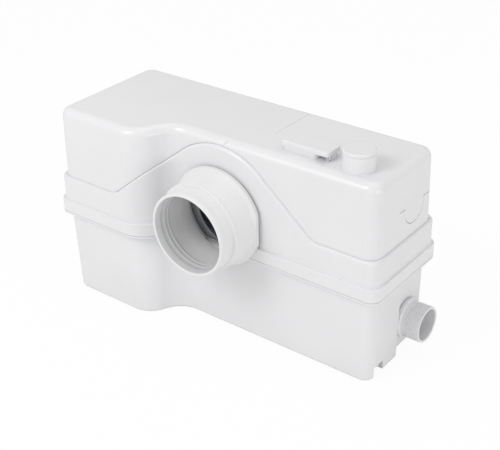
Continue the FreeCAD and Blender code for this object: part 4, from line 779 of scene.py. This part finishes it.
def make_hood():
    s, f = sizes(), fittings()
    inside = s.hood_top - s.wall
    hood = hood_skin("hood", s.wall)
    field = arch("hood_arch", s.seam, s.rim_back + s.bulge + 2 * PAST, s.field_back)
    place_whole(field, Matrix.Translation((-s.seam_shift, 0, 0)))
    carve(hood, field, arch_slit(), panel_shape("opening", s.panel_seam), *panel_catches())
    reach, overlap = 0.004, 0.0005
    strip = carve(panel_shape("ledge_wide", reach), panel_shape("ledge_core", -reach))
    ledge = keep_inside(hood_skin("ledge", s.wall, s.wall - overlap), strip)
    low = Vector((f.box_left, f.box_front, inside + NEAR))
    high = Vector((f.box_right, f.box_back, f.box_top))
    join(hood, ledge, vent_stub(low.z), rounded_slab("filter_box", low, high, f.box_corner),
         *lid_lug(low.z))
    vent, lid, gland = middle_of("vent_cap"), middle_of("filter_lid"), middle_of("gland_nut")
    wall, floor, air_radius, air_holes = f.box_wall, 0.0022, 0.003, 5
    pitch = (high.x - low.x) / (air_holes + 1)
    spots = [Vector((low.x + pitch * (index + 1), lid.y)) for index in range(air_holes)]
    carve(hood, brick("box_hollow", low + Vector((wall, wall, floor)), high + Vector((-wall, -wall, PAST))),
          upright_hole(f.vent_hollow, vent, s.hood_top, CAD_HIGH.z + PAST),
          upright_hole(f.vent_hole, vent, inside - PAST, s.hood_top + NEAR, 48),
          rod("gland_hole", f.gland_hole, (gland.x, s.rim_back / 2, gland.z),
              (gland.x, s.rim_back + PAST, gland.z), 64),
          *[upright_hole(air_radius, spot, inside - PAST, s.hood_top + 2 * NEAR, 32) for spot in spots])
    return finish(hood, "hood", "hood", "white_shell", 0.0003)


def make_panel():
    thinner = 0.0006
    panel = hood_skin("panel", sizes().wall - thinner)
    keep_inside(panel, panel_shape("panel_body", 0))
    return finish(panel, "discharge_panel", "discharge_panel", "white_shell", 0.0004)


def rounded_slab(name, low, high, corner, top=0.0):
    """A box with rounded upright corners and a rounded top edge."""
    spots = [(low.x, low.y), (high.x, low.y), (high.x, high.y), (low.x, high.y)]
    under = [Vector((x, y, low.z)) for x, y in spots]
    over = [Vector((x, y, high.z)) for x, y in spots]
    obj = solid(name, under, over)
    round_edges(obj, lambda edge: abs(edge.verts[0].co.z - edge.verts[1].co.z) > TINY, corner, 8)
    if top:
        round_edges(obj, level(high.z), top, 4)
    return obj


def make_lid():
    """The lid, with an ear on each side of the hood's lug."""
    f = fittings()
    low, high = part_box("filter_lid")
    pin, half = middle_of("filter_lid_pin"), f.ear_radius
    lid = rounded_slab("lid", Vector((low.x, low.y, f.lid_under)), high, f.box_corner, f.lid_round)
    clear = 0.0003
    for front in (f.lug_front - f.ear_width - clear, f.lug_back + clear):
        back = front + f.ear_width
        join(lid, brick("ear", (pin.x - half, front, pin.z), (pin.x + half, back, f.lid_under + NEAR)),
             rod("ear_eye", half, (pin.x, front, pin.z), (pin.x, back, pin.z), 40))
    carve(lid, rod("hole", f.pin_hole, (pin.x, low.y - PAST, pin.z), (pin.x, high.y + PAST, pin.z), 32))
    return finish(lid, "filter_lid", "filter_lid", "white_shell", 0.0004)


def make_vent_cap():
    """The cap: a plug that goes into the stub, and a head with a shallow dish."""
    f = fittings()
    vent, high = middle_of("vent_cap"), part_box("vent_cap")[1].z
    low, radius, plug, plug_length = high - f.cap_head, f.vent_radius, f.vent_hollow - 0.0001, 0.004
    profile = [(0.0135, low - plug_length), (plug, low - plug_length), (plug, low + 0.0003),
               (radius, low + 0.0003), (radius, high - 0.0016), (radius - 0.0005, high - 0.0006),
               (radius - 0.0016, high), (radius - 0.0030, high - 0.0002), (0.0100, high - 0.0003),
               (0.0040, high - 0.0003)]
    cap = turned("vent_cap", profile, (vent.x, vent.y, 0), closed=False)
    return finish(cap, "vent_cap", "vent_cap", "white_shell", 0.0003)


def flange_flat():
    """What the flat on the right of the flange and of the ring takes off."""
    s, wide = sizes(), 0.2
    return brick("flat", (s.inlet_x + s.flat_in, -wide, 0), (s.inlet_x + wide, 0, s.hood_top))


def turned_about_inlet(name, profile):
    """A piece turned about the inlet's axis, with heights in front of the flange's back."""
    s = sizes()
    return turned(name, profile, (s.inlet_x, -s.socket_face, s.inlet_z), TO_FRONT)


def make_sleeve():
    """The sleeve, from its tail in the cover over the flange, the cone with its two steps
    and the mouth to the seat of the lip seal."""
    tail = [(0.0494, -0.0023), (0.0498, -0.0027), (0.0516, -0.0027), (0.0520, -0.0023), (0.0520, 0)]
    flange = [(0.0690, 0), (0.0694, 0.0003), (0.0695, 0.0008), (0.0695, 0.0024), (0.0693, 0.0031),
              (0.0688, 0.0036), (0.0681, 0.0040)]
    cone = [(0.0664, 0.0044), (0.0656, 0.0052), (0.0648, 0.0070), (0.0612, 0.0323), (0.0607, 0.0347)]
    bead = [(0.0608, 0.0356), (0.0617, 0.0361), (0.0621, 0.0367), (0.0621, 0.0379), (0.0616, 0.0387),
            (0.0607, 0.0392)]
    neck = [(0.0579, 0.0395), (0.0573, 0.0400), (0.0571, 0.0407), (0.0566, 0.0528)]
    mouth = [(0.0567, 0.0537), (0.0572, 0.0544), (0.0577, 0.0550), (0.0578, 0.0558), (0.0575, 0.0603),
             (0.0572, 0.0613), (0.0566, 0.0620), (0.0558, 0.0623), (0.0545, 0.0623), (0.0538, 0.0620),
             (0.0534, 0.0614), (0.0533, 0.0607)]
    seat = [(0.0533, 0.0513), (0.0545, 0.0513), (0.0545, 0.0253), (0.0494, 0.0173)]
    sleeve = turned_about_inlet("sleeve", tail + flange + cone + bead + neck + mouth + seat)
    carve(sleeve, flange_flat())
    return finish(sleeve, "inlet_sleeve", "station", "white_sleeve", 0)


def make_lip_seal():
    """The seal: a band in the sleeve's seat with two lips inside."""
    outer, inner, tip, low, width = 0.05445, 0.0535, 0.0523, 0.0343, 0.016
    profile = [(outer, low), (outer, low + width), (inner, low + width)]
    for foot in (low + 0.009, low + 0.002):
        profile += [(inner, foot + 0.0032), (tip + 0.0005, foot + 0.0022), (tip, foot + 0.0010),
                    (inner, foot)]
    profile.append((inner, low))
    seal = turned_about_inlet("seal", profile)
    return finish(seal, "inlet_lip_seal", "station", "grey_rubber", 0)


def make_backing_ring():
    s, f = sizes(), fittings()
    clear = 0.0002
    ring = inlet_rod("ring", f.ring_radius, s.socket_face, s.socket_face - f.ring_thick)
    carve(ring, inlet_rod("hole", f.socket_radius + clear, s.socket_face + PAST, PAST), flange_flat())
    return finish(ring, "inlet_backing_ring", "station", "white_sleeve", 0.0008)


def make_side_port():
    """The barrel with its collar, a plain middle and a fine thread up to the mouth."""
    port = middle_of("side_port")
    root, tip, bore, collar = 0.0239, 0.0250, 0.0216, 0.0280
    tail, face, pitch, turns, end = -0.014, 0.034, 0.0023, 8, 0.0018
    profile = [(bore, tail), (tip, tail), (tip, 0.002), (collar - 0.0004, 0.002), (collar, 0.0024),
               (collar, 0.0056), (collar - 0.0004, 0.0064), (0.0266, 0.0070), (0.0252, 0.0074),
               (0.0247, 0.0080)]
    for index in range(turns):
        start = face - end - pitch * (turns - index)
        profile += [(root, start), (root, start + pitch * 0.15), (tip, start + pitch * 0.5),
                    (tip, start + pitch * 0.65)]
    profile += [(root, face - end), (root, face - 0.0012), (0.0247, face - 0.0010), (0.0248, face - 0.0003),
                (0.0244, face), (bore + 0.0006, face), (bore, face - 0.0006)]
    barrel = turned("port", profile, (sizes().end_recess, port.y, port.z), TO_X)
    return finish(barrel, "side_port", "station", "white_port", 0)


def finish_cad_nodes():
    """Give the CAD nodes that stay their finish."""
    slots = {part["node"]: part["material_slot"] for part in frame["record"]["subparts"]}
    for name, obj in frame["nodes"].items():
        if obj.hide_render:
            continue
        obj.data.materials.clear()
        obj.data.materials.append(paint_for(slots[name]))
        alone(obj)
        bpy.ops.object.shade_smooth_by_angle(angle=math.radians(30))


# The studio


def camera_matrix(around, above, roll, distance, aim):
    """A camera that looks at a point from an angle round it and an angle above it."""
    flat = math.cos(above)
    back = Vector((math.sin(around) * flat, -math.cos(around) * flat, math.sin(above)))
    right = (-back).cross(Vector((0, 0, 1))).normalized()
    upward = right.cross(-back)
    across = right * math.cos(roll) + upward * math.sin(roll)
    rise = upward * math.cos(roll) - right * math.sin(roll)
    place = aim + back * distance
    return Matrix(((across.x, rise.x, back.x, place.x), (across.y, rise.y, back.y, place.y),
                   (across.z, rise.z, back.z, place.z), (0, 0, 0, 1)))


def make_camera():
    photo_width, focal_pixels, sensor = 500, 1038.18, 36.0
    data = bpy.data.cameras.new("camera")
    data.sensor_fit = "HORIZONTAL"
    data.sensor_width = sensor
    data.lens = focal_pixels / photo_width * sensor
    camera = bpy.data.objects.new("camera", data)
    bpy.context.scene.collection.objects.link(camera)
    camera.matrix_world = camera_matrix(around=math.radians(38.032), above=math.radians(29.862),
                                        roll=-0.02158, distance=1.44724,
                                        aim=Vector((-0.00555, 0.00337, 0.12372)))
    bpy.context.scene.camera = camera


def area_lamp(name, place, aim, size, power):
    data = bpy.data.lights.new(name, "AREA")
    data.shape = "RECTANGLE"
    data.size, data.size_y = size
    data.energy = power
    lamp = bpy.data.objects.new(name, data)
    bpy.context.scene.collection.objects.link(lamp)
    lamp.location = place
    lamp.rotation_euler = (Vector(aim) - Vector(place)).to_track_quat("-Z", "Y").to_euler()


def make_world():
    """A pale room: soft grey light on the object, white where the camera sees it."""
    on_object, in_camera = 0.66, 1.0
    world = bpy.data.worlds.new("studio")
    bpy.context.scene.world = world
    world.use_nodes = True
    nodes, links = world.node_tree.nodes, world.node_tree.links
    nodes.clear()
    path, mix = nodes.new("ShaderNodeLightPath"), nodes.new("ShaderNodeMixShader")
    links.new(path.outputs["Is Camera Ray"], mix.inputs["Fac"])
    for socket, strength in ((1, on_object), (2, in_camera)):
        sky = nodes.new("ShaderNodeBackground")
        sky.inputs["Color"].default_value = (1, 1, 1, 1)
        sky.inputs["Strength"].default_value = strength
        links.new(sky.outputs["Background"], mix.inputs[socket])
    links.new(mix.outputs["Shader"], nodes.new("ShaderNodeOutputWorld").inputs["Surface"])


def make_floor():
    """A pale floor that keeps a faint shadow and is nearly white to the camera."""
    width, drop, whiteness = 16, 0.0005, 0.95
    bpy.ops.object.select_all(action="DESELECT")
    bpy.ops.mesh.primitive_plane_add(size=width, location=(0, 0, -drop))
    floor = place_whole(bpy.context.object)
    floor.name = "floor"
    add, feed = nodes_of("studio_floor")
    where = add("ShaderNodeTexCoord").outputs["Object"]
    material = feed(rough=span(add, clouds_of(add, where, 3.0), 0.7, 0.9))
    nodes, links = material.node_tree.nodes, material.node_tree.links
    shader, out = nodes["Principled BSDF"], nodes["Material Output"]
    shader.inputs["Base Color"].default_value = (*finishes().floor, 1)
    glow = add("ShaderNodeEmission", strength=1.0)
    path = add("ShaderNodeLightPath")
    seen = add("ShaderNodeMath", {0: path.outputs["Is Camera Ray"]}, operation="MULTIPLY")
    seen.inputs[1].default_value = whiteness
    mix = add("ShaderNodeMixShader", {0: seen.outputs[0], 1: shader.outputs[0], 2: glow.outputs[0]})
    links.new(mix.outputs[0], out.inputs["Surface"])
    floor.data.materials.append(material)


def make_stage():
    scene = bpy.context.scene
    scene.view_settings.view_transform = "Standard"
    make_camera()
    make_world()
    make_floor()
    middle = (0, -0.02, 0.14)
    area_lamp("key", (-0.9, -1.9, 1.5), middle, size=(1.2, 1.2), power=9)
    area_lamp("front", (-0.4, -1.5, 1.7), (0.0, -0.1, 0.16), size=(0.7, 0.7), power=8)
    area_lamp("end", (2.2, -0.5, 0.3), middle, size=(1.2, 0.6), power=8)
    area_lamp("over", (0.1, 0.2, 2.3), middle, size=(1.6, 1.2), power=6.5)


class StationStep:
    """What all the steps of the station share."""

    bl_options = {"REGISTER", "UNDO"}

    def execute(self, context):
        for maker in self.makers:
            maker()
        return {"FINISHED"}


class STATION_OT_shells(StationStep, bpy.types.Operator):
    """Model the tank, the cover with its arched field, the hood and the corner panel"""

    bl_idname = "station.shells"
    bl_label = "Shells"
    makers = (make_tank, make_cover, make_hood, make_panel)


class STATION_OT_top_fittings(StationStep, bpy.types.Operator):
    """Model the filter lid and the vent cap"""

    bl_idname = "station.top_fittings"
    bl_label = "Lid and vent"
    makers = (make_lid, make_vent_cap)


class STATION_OT_toilet_inlet(StationStep, bpy.types.Operator):
    """Model the sleeve of the toilet inlet, its lips and the ring behind its flange"""

    bl_idname = "station.toilet_inlet"
    bl_label = "Toilet inlet"
    makers = (make_sleeve, make_lip_seal, make_backing_ring)


class STATION_OT_side_inlet(StationStep, bpy.types.Operator):
    """Model the threaded barrel of the side inlet"""

    bl_idname = "station.side_inlet"
    bl_label = "Side inlet"
    makers = (make_side_port,)


class STATION_OT_inner_finishes(StationStep, bpy.types.Operator):
    """Give every CAD piece that stays its finish"""

    bl_idname = "station.inner_finishes"
    bl_label = "Inner finishes"
    makers = (finish_cad_nodes,)


class STATION_OT_stage(StationStep, bpy.types.Operator):
    """Set up the camera, the floor and the soft light"""

    bl_idname = "station.stage"
    bl_label = "Stage"
    makers = (make_stage,)


STEPS = (STATION_OT_shells, STATION_OT_top_fittings, STATION_OT_toilet_inlet, STATION_OT_side_inlet,
         STATION_OT_inner_finishes, STATION_OT_stage)


class STATION_PT_panel(bpy.types.Panel):
    """The steps and sizes of the lifting station"""

    bl_idname = "STATION_PT_panel"
    bl_label = "Lifting station"
    bl_space_type = "VIEW_3D"
    bl_region_type = "UI"
    bl_category = "Station"

    def draw(self, context):
        for step in STEPS:
            self.layout.operator(step.bl_idname)
        for group in (sizes(), fittings(), finishes()):
            for name in group.__annotations__:
                self.layout.prop(group, name)


CLASSES = (StationSizes, StationFittings, StationFinishes) + STEPS + (STATION_PT_panel,)


def register():
    for item in CLASSES:
        bpy.utils.register_class(item)
    bpy.types.Scene.station_sizes = bpy.props.PointerProperty(type=StationSizes)
    bpy.types.Scene.station_fittings = bpy.props.PointerProperty(type=StationFittings)
    bpy.types.Scene.station_finishes = bpy.props.PointerProperty(type=StationFinishes)


def unregister():
    del bpy.types.Scene.station_finishes
    del bpy.types.Scene.station_fittings
    del bpy.types.Scene.station_sizes
    for item in reversed(CLASSES):
        bpy.utils.unregister_class(item)


def main():
    register()
    bpy.ops.station.shells()
    bpy.ops.station.top_fittings()
    bpy.ops.station.toilet_inlet()
    bpy.ops.station.side_inlet()
    bpy.ops.station.inner_finishes()
    bpy.ops.station.stage()


if __name__ == "__main__":
    main()
